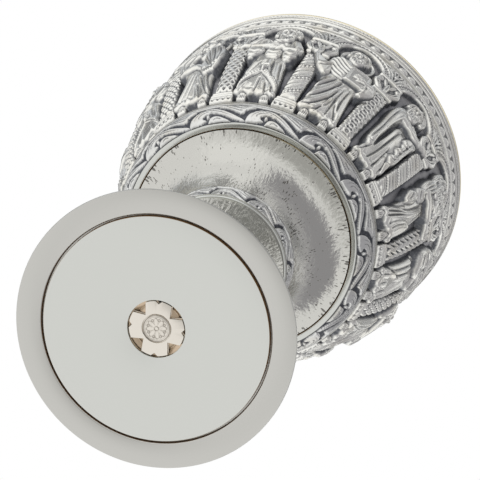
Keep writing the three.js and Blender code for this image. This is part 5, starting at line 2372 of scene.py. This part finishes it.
class Turned(Figure):
    """Figure that looks aside, one sleeve hanging long, the other hand held out."""

    def head(self) -> Head:
        """Returns the figure's head."""
        return Head(0.6, 182.4, tilt=-6, turn=-0.8, hair=Hair.BUSHY)

    def _dress(self, relief: Relief) -> None:
        """Chases robe, cloak, arms and hands.

        Args:
            relief: Relief that gets them.
        """
        robe = [
            (-4.6, 176.8), (-6.6, 173.4), (-5.8, 160.0), (-5.8, 148.0), (-6.8, 139.0), (-7.4, 136.6),
            (-4.4, 135.6), (-0.4, 136.6), (3.8, 135.4), (8.4, 136.6), (8.6, 142.0), (7.4, 150.0),
            (7.2, 160.0), (8.2, 168.0), (8.4, 173.0), (5.6, 176.4), (1.0, 177.6),
        ]
        relief.form(robe, 1.8, 2.8, 1.1)
        self._hem(relief, -7.2, 8.4)
        relief.folds(
            [(-1.4, 166), (-1.6, 154), (-3.0, 143), (-5.2, 136)],
            [(1.6, 165), (1.2, 154), (0.8, 144), (-0.4, 136)], 2, 2.3, 0.95,
        )
        relief.fold([(3.0, 152.0), (3.2, 146), (3.4, 141), (3.0, 136)], 2.2, -0.8)
        relief.limb([(3.8, 149), (5.0, 143), (5.8, 137), (6.0, 135.4)], (1.2, 1.7, 1.8, 1.4), 2.0, 0.8)
        relief.fold([(4.4, 147), (6.4, 142.6), (7.2, 137)], 1.8, -0.5)
        sleeve = [
            (-3.6, 176.8), (-6.6, 174.6), (-7.5, 169.0), (-7.3, 158.0), (-7.4, 148.0), (-6.4, 143.2),
            (-4.6, 141.8), (-2.9, 144.2), (-3.1, 152.0), (-2.3, 162.0), (-1.0, 170.4), (0.4, 172.6),
        ]
        relief.form(sleeve, 1.6, 1.6, 2.7)
        relief.fold([(-4.6, 174.0), (-5.1, 164), (-4.9, 154), (-5.2, 144.4)], 2.4, 0.8)
        relief.stroke(
            [(-0.4, 169.4), (-2.0, 162.0), (-2.7, 152.0), (-2.5, 144.0)], 0.75, -1.3, ends=(0.1, 0.1)
        )
        relief.fold([(-1.6, 172.4), (-2.9, 165), (-3.3, 156)], 1.4, -0.5)
        relief.stroke([(-6.8, 145.4), (-4.8, 144.2), (-3.2, 146.0)], 0.28, -0.5)
        cloth = [
            (4.9, 166.4), (3.6, 162.6), (5.2, 158.8), (3.8, 155.6), (5.6, 152.6), (4.2, 149.6), (6.4, 146.2),
            (8.9, 148.4), (8.9, 156.0), (9.0, 163.0), (9.6, 167.4),
        ]
        relief.form(cloth, 1.3, 1.2, 3.1)
        relief.fold([(7.8, 166), (7.4, 157), (7.6, 149.6)], 1.8, 0.7)
        relief.folds(
            [(4.2, 162.4), (5.8, 161.4), (7.4, 162.6)], [(4.6, 150.0), (6.2, 149.8), (7.4, 151.6)], 3, 1.4,
            0.45,
        )
        relief.limb([(8.2, 149.4), (7.2, 145.6), (8.4, 141.0)], (1.0, 1.5, 0.8), 2.5, 0.8)
        relief.limb([(-1.6, 171.0), (3.0, 169.6), (7.8, 170.4)], (2.3, 2.6, 2.2), 2.9, 0.9)
        relief.fold([(-0.8, 173.0), (3.4, 171.8), (7.4, 172.8)], 1.8, 0.55)
        relief.fold([(0.8, 168.6), (4.2, 167.8), (8.0, 169.2)], 1.5, 0.5)
        self._cuff(relief, (8.6, 168.6), (7.6, 172.6))
        relief.limb([(7.8, 170.8), (10.0, 171.8)], (1.5, 1.3), 3.3, 0.9)
        self._hand(relief, 10.6, 172.4, 38, 3.6, 0.9)
        relief.folds(
            [(-3.0, 177.4), (0.0, 174.8), (3.0, 174.4)], [(-2.2, 179.0), (1.0, 177.0), (4.6, 176.6)], 2, 1.4,
            0.5,
        )
        relief.layer([(2.0, 177.0), (6.2, 176.0), (7.4, 173.4), (3.4, 173.4)], 0.5, 0.6)


class Pointing(Figure):
    """Figure with long hair, pleated sleeves, and hands held out over the next column."""

    def head(self) -> Head:
        """Returns the figure's head."""
        return Head(1.8, 182.4, tilt=-4, hair=Hair.LONG)

    def _dress(self, relief: Relief) -> None:
        """Chases robe, cloak, arms and hands.

        Args:
            relief: Relief that gets them.
        """
        robe = [
            (-3.6, 176.8), (-5.8, 172.6), (-5.4, 163.0), (-5.0, 154.0), (-5.2, 146.0), (-6.6, 139.0),
            (-7.0, 136.6), (-4.0, 135.4), (-0.2, 136.6), (3.6, 135.4), (8.4, 136.6), (8.8, 137.4),
            (8.0, 143.0), (6.6, 152.0), (6.4, 161.0), (8.0, 170.0), (7.4, 175.6), (3.4, 177.4),
        ]
        relief.form(robe, 1.9, 2.8, 1.1)
        self._hem(relief, -6.8, 8.6)
        relief.folds(
            [(1.8, 162), (0.2, 151), (-3.4, 143), (-6.2, 137)],
            [(2.6, 160), (1.8, 151), (-0.4, 143), (-2.4, 136)], 3, 2.3, 0.85,
        )
        relief.folds(
            [(3.6, 160), (4.6, 151), (6.6, 143), (7.8, 137.4)],
            [(5.0, 161), (6.2, 154), (7.4, 148), (8.2, 143)], 2, 2.0, -0.75,
        )
        relief.form(
            [(3.2, 148.0), (1.2, 141.8), (1.8, 136.0), (6.4, 135.4), (7.4, 141.0), (6.6, 149.0)], 1.1, 1.3,
            2.9,
        )
        relief.fold([(4.6, 147.4), (3.4, 141.6), (3.6, 136.6)], 1.7, 0.6)
        for lump, line in (
            (
                [(-6.4, 159.6), (-5.0, 164.0), (-1.2, 164.4), (0.2, 161.0), (-2.0, 158.0)],
                [(-4.8, 162.6), (-2.4, 160.4), (-0.6, 161.0)],
            ),
            (
                [(-7.6, 154.6), (-5.6, 158.0), (-2.6, 158.0), (-1.8, 154.0), (-3.4, 149.4), (-5.8, 149.8)],
                [(-5.8, 156.6), (-4.2, 153.4), (-4.0, 150.4)],
            ),
        ):
            relief.form(lump, 1.5, 1.5, 2.8)
            relief.fold(line, 1.8, 0.5)
        relief.fold([(-2.2, 149.0), (-3.4, 145.0), (-6.0, 139.8)], 2.2, 0.8)
        sleeve = [
            (-2.2, 177.2), (-4.9, 175.6), (-6.4, 169.0), (-5.6, 162.6), (-4.2, 160.4), (-2.4, 163.6),
            (-0.4, 170.4), (0.2, 175.0),
        ]
        relief.form(sleeve, 1.6, 1.6, 2.6)
        relief.folds(
            [(-5.0, 174.6), (-5.8, 168.2), (-4.6, 161.8)], [(-0.8, 175.6), (-1.6, 170.0), (-3.2, 163.6)], 4,
            1.1, 0.6,
        )
        relief.form(
            [(1.6, 176.4), (5.4, 178.0), (8.4, 175.6), (9.0, 171.6), (6.0, 169.2), (2.6, 170.6)], 1.6, 2.0,
            2.8,
        )
        relief.fold([(2.4, 175.4), (4.0, 172.0), (7.4, 170.2)], 2.0, 0.6)
        relief.limb([(-2.2, 167.0), (2.6, 165.6), (7.0, 165.0)], (2.1, 2.6, 2.2), 3.1, 0.9)
        relief.fold([(-1.8, 168.6), (2.6, 167.8), (6.8, 167.2)], 1.8, 0.5)
        relief.fold([(-0.6, 165.0), (3.2, 163.6), (7.2, 163.4)], 1.5, 0.45)
        self._hand(relief, 3.6, 169.2, 196, 3.9, 0.85)
        self._cuff(relief, (7.6, 162.8), (7.4, 167.2))
        relief.limb([(7.4, 165.0), (9.8, 164.4)], (1.6, 1.4), 3.2, 0.9)
        self._hand(relief, 10.8, 164.2, 5, 3.5, 1.0)
        relief.layer([(5.6, 161.8), (9.6, 162.0), (8.2, 156.6), (6.2, 157.0)], -1.0, 0.8)


class Wrapped(Figure):
    """Broad figure wrapped in a cloak whose folds cross the chest."""

    def head(self) -> Head:
        """Returns the figure's head."""
        return Head(1.2, 182.2, tilt=3, turn=0.6, hair=Hair.SHORT)

    def _dress(self, relief: Relief) -> None:
        """Chases robe, cloak, arms and hands.

        Args:
            relief: Relief that gets them.
        """
        robe = [
            (-4.6, 177.2), (-7.4, 173.6), (-8.0, 165.0), (-6.8, 156.0), (-7.0, 147.0), (-7.8, 139.0),
            (-8.0, 136.6), (-5.0, 135.4), (-1.0, 136.6), (3.0, 135.4), (6.6, 136.6), (9.2, 136.6),
            (8.6, 143.0), (7.6, 152.0), (8.0, 161.0), (9.2, 169.0), (7.8, 175.2), (3.4, 177.6),
        ]
        relief.form(robe, 2.0, 2.8, 1.1)
        self._hem(relief, -7.8, 9.0)
        relief.folds(
            [(-3.6, 160), (-3.8, 150), (-4.8, 141)], [(-0.6, 160), (-0.8, 152), (-1.6, 146)], 2, 2.4, 0.75
        )
        relief.folds(
            [(1.4, 160), (3.0, 152), (5.6, 143), (7.6, 136.6)],
            [(4.6, 160), (5.8, 153), (7.4, 146), (8.4, 141)], 2, 2.4, -0.85,
        )
        for side in (-1, 1):
            relief.fold([(0.4, 149.4), (side * 3.4, 144.6), (side * 7.4, 138.8)], 2.6, side * -1.0)
        relief.folds(
            [(-3.8, 141.4), (-4.2, 138), (-4.6, 135.6)], [(3.8, 142.2), (4.0, 138), (4.4, 135.6)], 3, 1.8, 0.6
        )
        relief.form(
            [
                (-6.4, 176.0), (-9.0, 169.0), (-8.2, 162.4), (-4.4, 161.4), (-0.6, 165.4), (0.2, 173.0),
                (-2.6, 177.4),
            ],
            2.1, 2.6, 2.6,
        )
        relief.form(
            [(2.0, 176.6), (7.0, 175.6), (9.8, 169.0), (8.2, 162.4), (3.4, 161.4), (0.8, 166.6)], 1.9, 2.4,
            2.6,
        )
        relief.folds(
            [(-7.8, 170.0), (-3.8, 172.8), (0.6, 172.4)], [(-7.2, 164.6), (-2.2, 164.2), (3.2, 167.8)], 3,
            2.0, 0.7,
        )
        relief.folds(
            [(2.4, 175.6), (6.2, 171.4), (8.8, 167.0)], [(1.4, 169.6), (4.6, 165.8), (7.4, 163.0)], 3, 1.9,
            0.65,
        )
        relief.limb([(-5.6, 164.0), (-1.2, 163.6), (2.6, 166.0)], (2.2, 2.3, 1.6), 3.1, 0.9)
        self._hand(relief, 3.6, 167.2, 35, 4.1, 0.95)
        relief.layer(
            [(-8.0, 161.6), (0.0, 160.6), (8.6, 160.6), (8.2, 158.4), (0, 158.4), (-7.6, 158.8)], -1.0, 0.9
        )


class Bearer(Figure):
    """Figure that carries a cloth over both arms, one hand hanging over it."""

    def head(self) -> Head:
        """Returns the figure's head."""
        return Head(-0.8, 182.4, tilt=-4, turn=-0.5, hair=Hair.YOUNG, halo=6.9)

    def _dress(self, relief: Relief) -> None:
        """Chases robe, cloak, arms and hands.

        Args:
            relief: Relief that gets them.
        """
        robe = [
            (-5.0, 177.0), (-8.4, 172.0), (-9.4, 165.0), (-7.0, 157.0), (-6.6, 149.0), (-8.2, 141.0),
            (-9.2, 136.0), (-6.2, 135.4), (-2.2, 136.6), (2.0, 135.4), (5.6, 136.6), (7.6, 136.6),
            (7.0, 143.0), (6.6, 152.0), (7.8, 161.0), (9.2, 168.0), (7.2, 175.0), (3.0, 177.6),
        ]
        relief.form(robe, 1.9, 2.8, 1.1)
        self._hem(relief, -8.8, 7.4)
        relief.folds(
            [(-2.4, 160), (-3.4, 152), (-5.6, 143), (-7.8, 137)],
            [(0.4, 157), (0.2, 150), (-0.8, 143), (-2.2, 136)], 3, 2.3, 0.8,
        )
        relief.folds(
            [(1.4, 153), (3.0, 147), (5.0, 141.4), (6.6, 137.6)],
            [(4.0, 156), (4.8, 150), (5.8, 145), (6.6, 142)], 2, 2.1, -0.75,
        )
        relief.fold([(1.0, 147), (2.2, 141), (3.4, 136)], 1.8, -0.6)
        relief.limb([(-4.8, 175.2), (-8.4, 168.4), (-7.6, 161.8)], (2.5, 2.8, 2.4), 2.2, 0.9)
        relief.folds(
            [(-5.0, 176.0), (-8.0, 169.0), (-7.8, 162.6)], [(-3.4, 175.0), (-6.0, 168.0), (-5.8, 163.2)], 2,
            1.6, 0.6,
        )
        cloth = [
            (1.6, 177.4), (5.4, 176.6), (8.4, 171.0), (9.6, 164.0), (8.0, 156.8), (6.4, 153.4), (4.4, 156.4),
            (2.8, 162.0), (0.4, 168.0), (-0.4, 173.0),
        ]
        relief.form(cloth, 1.8, 2.0, 2.8)
        relief.folds(
            [(1.6, 175.6), (3.4, 167.4), (5.8, 157.4)], [(5.8, 175.4), (7.8, 167.4), (7.8, 160.0)], 3, 1.9,
            0.75,
        )
        relief.layer([(-4.6, 170.6), (-2.8, 173.4), (-0.8, 171.2), (-1.4, 165.6), (-3.2, 164.0)], -1.2, 1.0)
        relief.limb([(-6.4, 161.6), (-1.6, 161.8), (1.6, 158.6)], (1.9, 1.7, 1.3), 3.0, 0.95)
        self._hand(relief, 2.4, 157.0, 300, 3.8, 0.95)


@dataclass
class Frieze:
    """Frieze: bays with a figure each, a column at each bay's side, and arches over them.

    Attributes:
        bays: For each bay, round from the first column, that column's pattern and the figure.
        mirrored: Numbers of the bays whose figure is mirrored.
        flat: Numbers of the bays whose figure stands out less.
        flat_share: Share of its depth that such a figure keeps.
        ledge_foot: Height of the ledge below the wall.
        ledge: Radius of the ledge.
        sheet: Thickness of the wall.
        steps: Points round the wall.
        rows: Points up the wall.
        covered: How far relief covers each place of the wall, 0 to 1.
    """

    bays: tuple[tuple[Pattern, type[Figure]], ...] = (
        (Pattern.RINGS, Turned),
        (Pattern.STRIPES, Pointing),
        (Pattern.ZIGZAG, Wrapped),
        (Pattern.PEBBLES, BookBearer),
        (Pattern.STRIPES, Crossed),
        (Pattern.RINGS, Bearer),
        (Pattern.LATTICE, Turned),
        (Pattern.SPIRAL, Pointing),
        (Pattern.ZIGZAG, Wrapped),
        (Pattern.PEBBLES, Crossed),
        (Pattern.PEBBLES, Bearer),
        (Pattern.LATTICE, Crossed),
        (Pattern.SPIRAL, BookBearer),
    )
    mirrored: range = range(3, 10)
    flat: range = range(8, 10)
    flat_share: float = 0.72
    ledge_foot: float = 129.9
    ledge: float = 50.3
    sheet: float = 1.2
    steps: int = 520
    rows: int = 96
    covered: np.ndarray = field(init=False)

    def __post_init__(self) -> None:
        """Starts with nothing on the wall."""
        self.covered = np.zeros((self.rows, self.steps))

    def build(self) -> None:
        """Makes columns, figures, arcade and wall."""
        columns = {pattern: Column(pattern).chase() for pattern in Pattern}
        figures = {design: design().chase() for design in {design for _, design in self.bays}}
        for number, (pattern, design) in enumerate(self.bays):
            azimuth = COLUMN_AZIMUTH + number * math.tau / len(self.bays)
            self._put(f"column_{number + 1:02d}", columns[pattern], azimuth)
            relief = figures[design]
            if number in self.mirrored:
                relief = relief.mirrored()
            if number in self.flat:
                relief = relief.flattened(self.flat_share)
            self._put(f"figure_{number + 1:02d}", relief, azimuth + math.pi / len(self.bays))
        hand_over(Arcade(len(self.bays)).build(), "chalice", ["arcade"])
        hand_over(self._wall(), "chalice", ["frieze_wall"])

    def _put(self, node: str, relief: Relief, azimuth: float) -> None:
        """Lays a relief on the wall and notes what it covers.

        Args:
            node: CAD node that it stands for.
            relief: The relief.
            azimuth: Azimuth of its middle line in radians.
        """
        piece = relief_solid(f"{node}_chased", relief, azimuth, CHASED)
        hand_over(piece, "chalice", [node])
        raised = relief.depth > 0.4
        turn = (azimuth + relief.x[raised] / WALL.reference) / math.tau * self.steps
        column = np.round(turn).astype(int) % self.steps
        row = np.round((relief.y[raised] - WALL.foot) / WALL.height * (self.rows - 1)).astype(int)
        np.maximum.at(self.covered, (np.clip(row, 0, self.rows - 1), column), 1.0)

    def _wall(self) -> bpy.types.Object:
        """Returns the wall, with painted shade beside the relief and under the arches, and the ledge at its
        foot.
        """
        # Painted shade under the arches.
        arch = np.linspace(0, 1, self.rows) > 0.93
        self.covered[arch] = np.maximum(self.covered[arch], 0.8)
        near = blur(self.covered, 1.0, wrap=True)
        z = np.linspace(WALL.foot, WALL.foot + WALL.height - 0.02, self.rows)
        # Painted shade beside the relief, and darker towards the wall's foot.
        dark = np.clip(0.08 + 1.2 * near + np.clip((137.0 - z[:, None]) / 2.5, 0, 0.9), 0, 1)
        radius = WALL.radius(z)
        section = [(self.ledge, self.ledge_foot), (self.ledge, WALL.foot - 0.05)]
        outer = list(zip(radius.tolist(), z.tolist()))
        inner = [(r - self.sheet, height) for r, height in outer[::-6]]
        inner.append((outer[0][0] - self.sheet, self.ledge_foot))
        points = turn_round(np.array(section + outer + inner), self.steps)
        recess = np.full(points.shape[:2], 0.75)
        recess[:2] = 0.1
        recess[2 : 2 + self.rows] = dark
        index = np.arange(points.shape[0] * self.steps).reshape(-1, self.steps)
        there = np.roll(index, -1, axis=0)
        quads = np.stack([index, np.roll(index, -1, axis=1), np.roll(there, -1, axis=1), there], axis=-1)
        wall = make_piece(
            "frieze_wall_ground", points.reshape(-1, 3), quads.reshape(-1, 4), GROUND, recess.reshape(-1), 40
        )
        recoat(wall, SATIN, lambda middle: middle.z < WALL.foot * MM)
        return wall


@dataclass
class Rim:
    """Top of the cup: bead band, plain edge with its wavy line, and the gilt inner cup.

    Attributes:
        band_foot: Height of the bead band's foot.
        band_height: Height of the bead band.
        band_radius: Radius of the ground behind the beads.
        beads: Number of beads.
        edge_foot: Height of the plain edge's foot.
        edge_height: Height of the plain edge.
        radius: Radius of the rim.
        waves: Waves of the line on the edge.
        cup_radius: Outer radius of the inner cup.
        cup_wall: Thickness of the inner cup.
        cup_foot: Height of the inner cup's lowest point.
        cup_bowl: Height of its rounded bottom.
        lip_foot: Height of the lip's underside.
        lip_height: Thickness of the lip.
        boss_radius: Radius of the boss under the cup.
        boss_bore: Radius of its hole.
        boss_foot: Height of its foot.
        boss_top: Height of its top.
    """

    band_foot: float = 199.5
    band_height: float = 7.4
    band_radius: float = 60.7
    beads: int = 84
    edge_foot: float = 207.2
    edge_height: float = 2.7
    radius: float = 61.9
    waves: int = 260
    cup_radius: float = 57.4
    cup_wall: float = 1.4
    cup_foot: float = 124.0
    cup_bowl: float = 16.0
    lip_foot: float = 210.2
    lip_height: float = 1.1
    boss_radius: float = 9.0
    boss_bore: float = 4.12
    boss_foot: float = 111.7
    boss_top: float = 123.7

    def build(self) -> None:
        """Makes the band, the edge, the cup and its boss."""
        hand_over(self._bead_band(), "chalice", ["bead_band"])
        hand_over(self._edge(), "chalice", ["rim_band"])
        hand_over(self._cup(), "chalice", ["inner_cup"])
        radius, low, high = self.boss_radius, self.boss_foot, self.boss_top
        section = [(self.boss_bore, low), (radius - 0.4, low), (radius, low + 0.4), (radius, high - 0.4)]
        section += [(radius - 0.4, high), (0, high), (0, high - 3.0), (self.boss_bore, high - 3.0)]
        boss = lathe("cup_boss_turned", section, BRASS, segments=96)
        hand_over(boss, "chalice", ["cup_boss"])

    def _bead_band(self) -> bpy.types.Object:
        """Returns the band: almond-shaped beads between ridges."""
        span = math.tau * self.band_radius / self.beads
        low, high = self.band_foot, self.band_foot + self.band_height
        relief = Relief(0, span, low, high, cell=0.3, ground=0.0, wrap=True, dark_below=(0.35, -0.15))
        x, y = relief.x - span / 2, relief.y - low - 3.5 - 0.15 * (relief.x - span / 2)
        off = (np.abs(x) / 2.05) ** 1.7 + (np.abs(y) / 1.75) ** 2
        relief.depth += 1.0 * np.sqrt(np.clip(1 - off, 0, None))
        for ridge, width in ((low + 0.55, 0.75), (high - 0.75, 0.6), (high - 0.05, 0.4)):
            relief.depth += 0.8 * np.sqrt(np.clip(1 - ((relief.y - ridge) / width) ** 2, 0, None))
        return self._band("bead_band_chased", relief, self.beads, self.band_radius)

    def _edge(self) -> bpy.types.Object:
        """Returns the plain edge with the fine wavy line round it."""
        span = math.tau * self.radius / self.waves
        low, high = self.edge_foot, self.edge_foot + self.edge_height
        relief = Relief(0, span, low, high, cell=span / 6, ground=-0.5, wrap=True, dark_below=(-0.42, -0.8))
        wave = 0.3 * np.cos(relief.x / span * math.tau)
        line = np.abs(relief.y - low - 1.25 - wave)
        relief.depth += 0.5 * np.clip(1 - line / 0.55, 0, 1)
        for ridge in (low + 0.1, high - 0.25):
            relief.depth += 0.55 * np.sqrt(np.clip(1 - ((relief.y - ridge) / 0.45) ** 2, 0, None))
        return self._band("rim_band_chased", relief, self.waves, self.radius)

    def _band(self, name: str, relief: Relief, count: int, radius: float) -> bpy.types.Object:
        """Lays a relief round the cup on an upright face.

        Args:
            name: Name of the ring.
            relief: One bay of it.
            count: Number of bays.
            radius: Radius of the face.

        Returns:
            The ring.
        """
        inner = [(self.cup_radius + 0.3, relief.top), (self.cup_radius + 0.3, relief.bottom)]
        return relief_ring(name, relief, count, lambda z: np.full(z.shape, radius), inner, CHASED)

    def _cup(self) -> bpy.types.Object:
        """Returns the inner cup with its turned-out lip."""
        bowl_top = self.cup_foot + self.cup_bowl

        def outer_at(z: float) -> float:
            """Returns the cup's outer radius at a height."""
            return float(WALL.radius(z)) - 1.5

        outer = [
            (
                outer_at(bowl_top) * math.sin(math.pi / 2 * t),
                bowl_top - self.cup_bowl * math.cos(math.pi / 2 * t),
            )
            for t in np.linspace(0, 1, 25)
        ]
        outer += [(outer_at(z), z) for z in np.linspace(bowl_top, 199.2, 30)[1:]]
        inner = [(0.0, self.cup_foot + self.cup_wall)]
        inner += [(r - self.cup_wall, max(z, self.cup_foot + self.cup_wall)) for r, z in outer[3:]]
        top = self.lip_foot + self.lip_height
        lip = [
            (self.cup_radius, self.lip_foot),
            (self.radius - 0.35, self.lip_foot),
            (self.radius, self.lip_foot + 0.3),
            (self.radius, top - 0.35),
            (self.radius - 0.35, top),
            (self.cup_radius - self.cup_wall + 0.3, top),
            (self.cup_radius - self.cup_wall, top - 0.3),
        ]
        return lathe("inner_cup_gilt", outer + lip + inner[::-1], GILT, segments=180)


# Room, light and camera


@dataclass
class Studio:
    """White studio with soft lamps, a pale floor, and the camera at the photograph's angle.

    Attributes:
        aim: Point that lies in the middle of the picture, in mm.
        right: Direction of the picture's right edge.
        up: Direction of the picture's upper edge.
        distance: Distance of the camera from the aim, in m.
        lens: Focal length in mm.
        floor_colour: Colour of the floor.
        floor_lift: Light that the camera sees added to it, which brings it to the backdrop's white.
        backdrop: Colour behind the object.
        board_edge: How far to the picture's right the grey board starts.
        board_back: How far towards the camera it reaches.
        board_front: How far away from the camera it reaches.
        board_colour: Colour of the board.
        behind_colour: Colour of the room behind the camera.
        far_colour: Colour of the upper part of the room beyond the object.
        ceiling_colour: Colour of the ceiling between the rows of soft boxes.
        box_rows: How closely those rows follow each other.
        lamp_size: Side of a lamp in m.
        lamp_power: Power of a lamp in W.
    """

    aim: tuple[float, float, float] = (0.29, -1.4, 114.4)
    right: tuple[float, float, float] = (0.7325, -0.6277, 0.2634)
    up: tuple[float, float, float] = (-0.6807, -0.6759, 0.2835)
    distance: float = 8.66
    lens: float = 1722.0
    floor_colour: str = "#F4F4F2"
    floor_lift: float = 0.42
    backdrop: str = "#FFFFFF"
    board_edge: float = 0.34
    board_back: float = 0.64
    board_front: float = 0.66
    board_colour: str = "#A9A8AC"
    behind_colour: str = "#BDBDBB"
    far_colour: str = "#BFC3C9"
    ceiling_colour: str = "#858688"
    box_rows: float = 13.0
    lamp_size: float = 1.6
    lamp_power: float = 0.8

    def build(self) -> None:
        """Makes the camera, the world, the lamps and the floor."""
        self._camera()
        self._world()
        self._lamps()
        self._floor()
        bpy.context.scene.view_settings.view_transform = "Standard"

    def _camera(self) -> None:
        """Places the camera."""
        right, up = Vector(self.right).normalized(), Vector(self.up)
        up = (up - right * up.dot(right)).normalized()
        back = right.cross(up)
        data = bpy.data.cameras.new("photograph")
        data.lens = self.lens
        data.sensor_width = 36.0
        data.clip_end = 100.0
        camera = bpy.data.objects.new("photograph", data)
        turn = Matrix((right, up, back)).transposed().to_4x4()
        camera.matrix_world = Matrix.Translation(Vector(self.aim) * MM + back * self.distance) @ turn
        bpy.context.scene.collection.objects.link(camera)
        bpy.context.scene.camera = camera

    def _world(self) -> None:
        """Makes the white surround, with a grey board at the picture's right and grey behind the camera."""
        world = bpy.data.worlds.new("white studio")
        bpy.context.scene.world = world
        world.use_nodes = True
        tree = world.node_tree
        tree.nodes.clear()
        rays = add_node(tree, "ShaderNodeLightPath").outputs
        way = add_node(tree, "ShaderNodeTexCoord").outputs["Generated"]
        right, up = Vector(self.right), Vector(self.up)
        across = self._along(tree, way, right)
        back = self._along(tree, way, right.cross(up))
        beside = self._step(tree, across, self.board_edge, 0.08)
        ahead = self._step(tree, back, self.board_back, -0.1)
        reach = self._step(tree, back, -self.board_front, 0.1)
        level = self._along(tree, way, Vector((0, 0, 1)))
        above = self._step(tree, level, 0.45, 0.2)
        faded = add_node(
            tree, "ShaderNodeMath", {0: above, 1: -0.68, 2: 1.0}, operation="MULTIPLY_ADD"
        ).outputs[0]
        board = beside
        for share in (ahead, reach, faded):
            board = add_node(tree, "ShaderNodeMath", {0: board, 1: share}, operation="MULTIPLY").outputs[0]
        high = self._step(tree, self._along(tree, way, up), 0.3, 0.25)
        far = self._step(tree, back, -0.5, -0.15)
        sky = add_node(tree, "ShaderNodeMath", {0: high, 1: far}, operation="MULTIPLY").outputs[0]
        behind = self._step(tree, back, 0.87, 0.14)
        rows = self._along(tree, way, right * 0.8 + right.cross(up) * 0.5)
        rows = add_node(tree, "ShaderNodeMath", {0: rows, 1: self.box_rows}, operation="MULTIPLY").outputs[0]
        rows = add_node(tree, "ShaderNodeMath", {0: rows}, operation="SINE").outputs[0]
        overhead = self._step(tree, level, 0.5, 0.12)
        inputs = {0: self._step(tree, rows, 0.1, 0.5), 1: overhead}
        gaps = add_node(tree, "ShaderNodeMath", inputs, operation="MULTIPLY").outputs[0]
        surround = linear("#FFFFFF")
        for share, colour in (
            (sky, self.far_colour),
            (gaps, self.ceiling_colour),
            (board, self.board_colour),
            (behind, self.behind_colour),
        ):
            inputs = {0: share, 6: surround, 7: linear(colour)}
            surround = add_node(tree, "ShaderNodeMix", inputs, data_type="RGBA").outputs[2]
        mirror = add_node(tree, "ShaderNodeBackground", {"Color": surround, "Strength": 1.0}).outputs[0]
        plain = add_node(
            tree, "ShaderNodeBackground", {"Color": linear("#FFFFFF"), "Strength": 0.62}
        ).outputs[0]
        white = add_node(
            tree, "ShaderNodeBackground", {"Color": linear(self.backdrop), "Strength": 1.0}
        ).outputs[0]
        glossy = add_node(
            tree, "ShaderNodeMath", {
                0: rays["Is Glossy Ray"], 1: rays["Is Transmission Ray"]
            }, operation="MAXIMUM"
        ).outputs[0]
        lit = add_node(tree, "ShaderNodeMixShader", {0: glossy, 1: plain, 2: mirror}).outputs[0]
        seen = add_node(tree, "ShaderNodeMixShader", {0: rays["Is Camera Ray"], 1: lit, 2: white}).outputs[0]
        add_node(tree, "ShaderNodeOutputWorld", {0: seen})

    @staticmethod
    def _along(tree: bpy.types.NodeTree, way: bpy.types.NodeSocket, axis: Vector) -> bpy.types.NodeSocket:
        """Returns how far a direction points along an axis."""
        inputs = {0: way, 1: tuple(axis.normalized())}
        return add_node(tree, "ShaderNodeVectorMath", inputs, operation="DOT_PRODUCT").outputs["Value"]

    @staticmethod
    def _step(
        tree: bpy.types.NodeTree, value: bpy.types.NodeSocket, middle: float, half: float
    ) -> bpy.types.NodeSocket:
        """Makes a soft step.

        Args:
            tree: Node tree.
            value: Socket that is stepped.
            middle: Value at the middle of the step.
            half: Half its width, negative for a step down.

        Returns:
            A value from 0 to 1.
        """
        low, high = middle - abs(half), middle + abs(half)
        ends = (0.0, 1.0) if half > 0 else (1.0, 0.0)
        inputs = {"Value": value, 1: low, 2: high, 3: ends[0], 4: ends[1]}
        return add_node(tree, "ShaderNodeMapRange", inputs, interpolation_type="SMOOTHSTEP").outputs[0]

    def _lamps(self) -> None:
        """Hangs two wide soft lamps, one high at the left and one low at the left."""
        for name, place in (("high left", (-1.1, -0.6, 1.4)), ("low left", (-1.6, -0.9, -0.4))):
            data = bpy.data.lights.new(name, "AREA")
            data.size = self.lamp_size
            data.energy = self.lamp_power
            lamp = bpy.data.objects.new(name, data)
            lamp.location = place
            aim = Vector((0, 0, 0.12)) - Vector(place)
            lamp.rotation_euler = aim.to_track_quat("-Z", "Y").to_euler()
            bpy.context.scene.collection.objects.link(lamp)

    def _floor(self) -> None:
        """Lays the floor, which shows from above and lets the view and the light through from below."""
        half = 1.6
        mesh = bpy.data.meshes.new("floor")
        corners = [(-half, -half), (half, -half), (half, half), (-half, half)]
        mesh.from_pydata([(x, y, -0.2 * MM) for x, y in corners], [], [(0, 1, 2, 3)])
        material = bpy.data.materials.new("Matt white board")
        material.use_nodes = True
        tree = material.node_tree
        shader = tree.nodes["Principled BSDF"]
        shader.inputs["Base Color"].default_value = linear(self.floor_colour)
        shader.inputs["Roughness"].default_value = 0.8
        seen = add_node(tree, "ShaderNodeLightPath").outputs["Is Camera Ray"]
        seen = add_node(
            tree, "ShaderNodeMath", {0: seen, 1: self.floor_lift}, operation="MULTIPLY"
        ).outputs[0]
        pale = add_node(tree, "ShaderNodeEmission", {"Strength": seen}).outputs[0]
        pale = add_node(tree, "ShaderNodeAddShader", {0: shader.outputs[0], 1: pale}).outputs[0]
        behind = add_node(tree, "ShaderNodeNewGeometry").outputs["Backfacing"]
        clear = add_node(tree, "ShaderNodeBsdfTransparent").outputs[0]
        mixed = add_node(tree, "ShaderNodeMixShader", {0: behind, 1: pale, 2: clear}).outputs[0]
        tree.links.new(mixed, tree.nodes["Material Output"].inputs["Surface"])
        mesh.materials.append(material)
        floor = bpy.data.objects.new("floor", mesh)
        bpy.context.scene.collection.objects.link(floor)
        for ray in ("diffuse", "glossy", "transmission", "shadow"):
            setattr(floor, f"visible_{ray}", False)


def main() -> None:
    """Builds the chalice from the foot up, then the studio round it."""
    logging.basicConfig(level=logging.INFO, format="%(message)s")
    for part in (Foot(), Fixing(), Stem(), Collar(), Bowl(), Frieze(), Rim()):
        log.info("building %s", type(part).__name__)
        part.build()
    Studio().build()


if __name__ == "__main__":
    main()
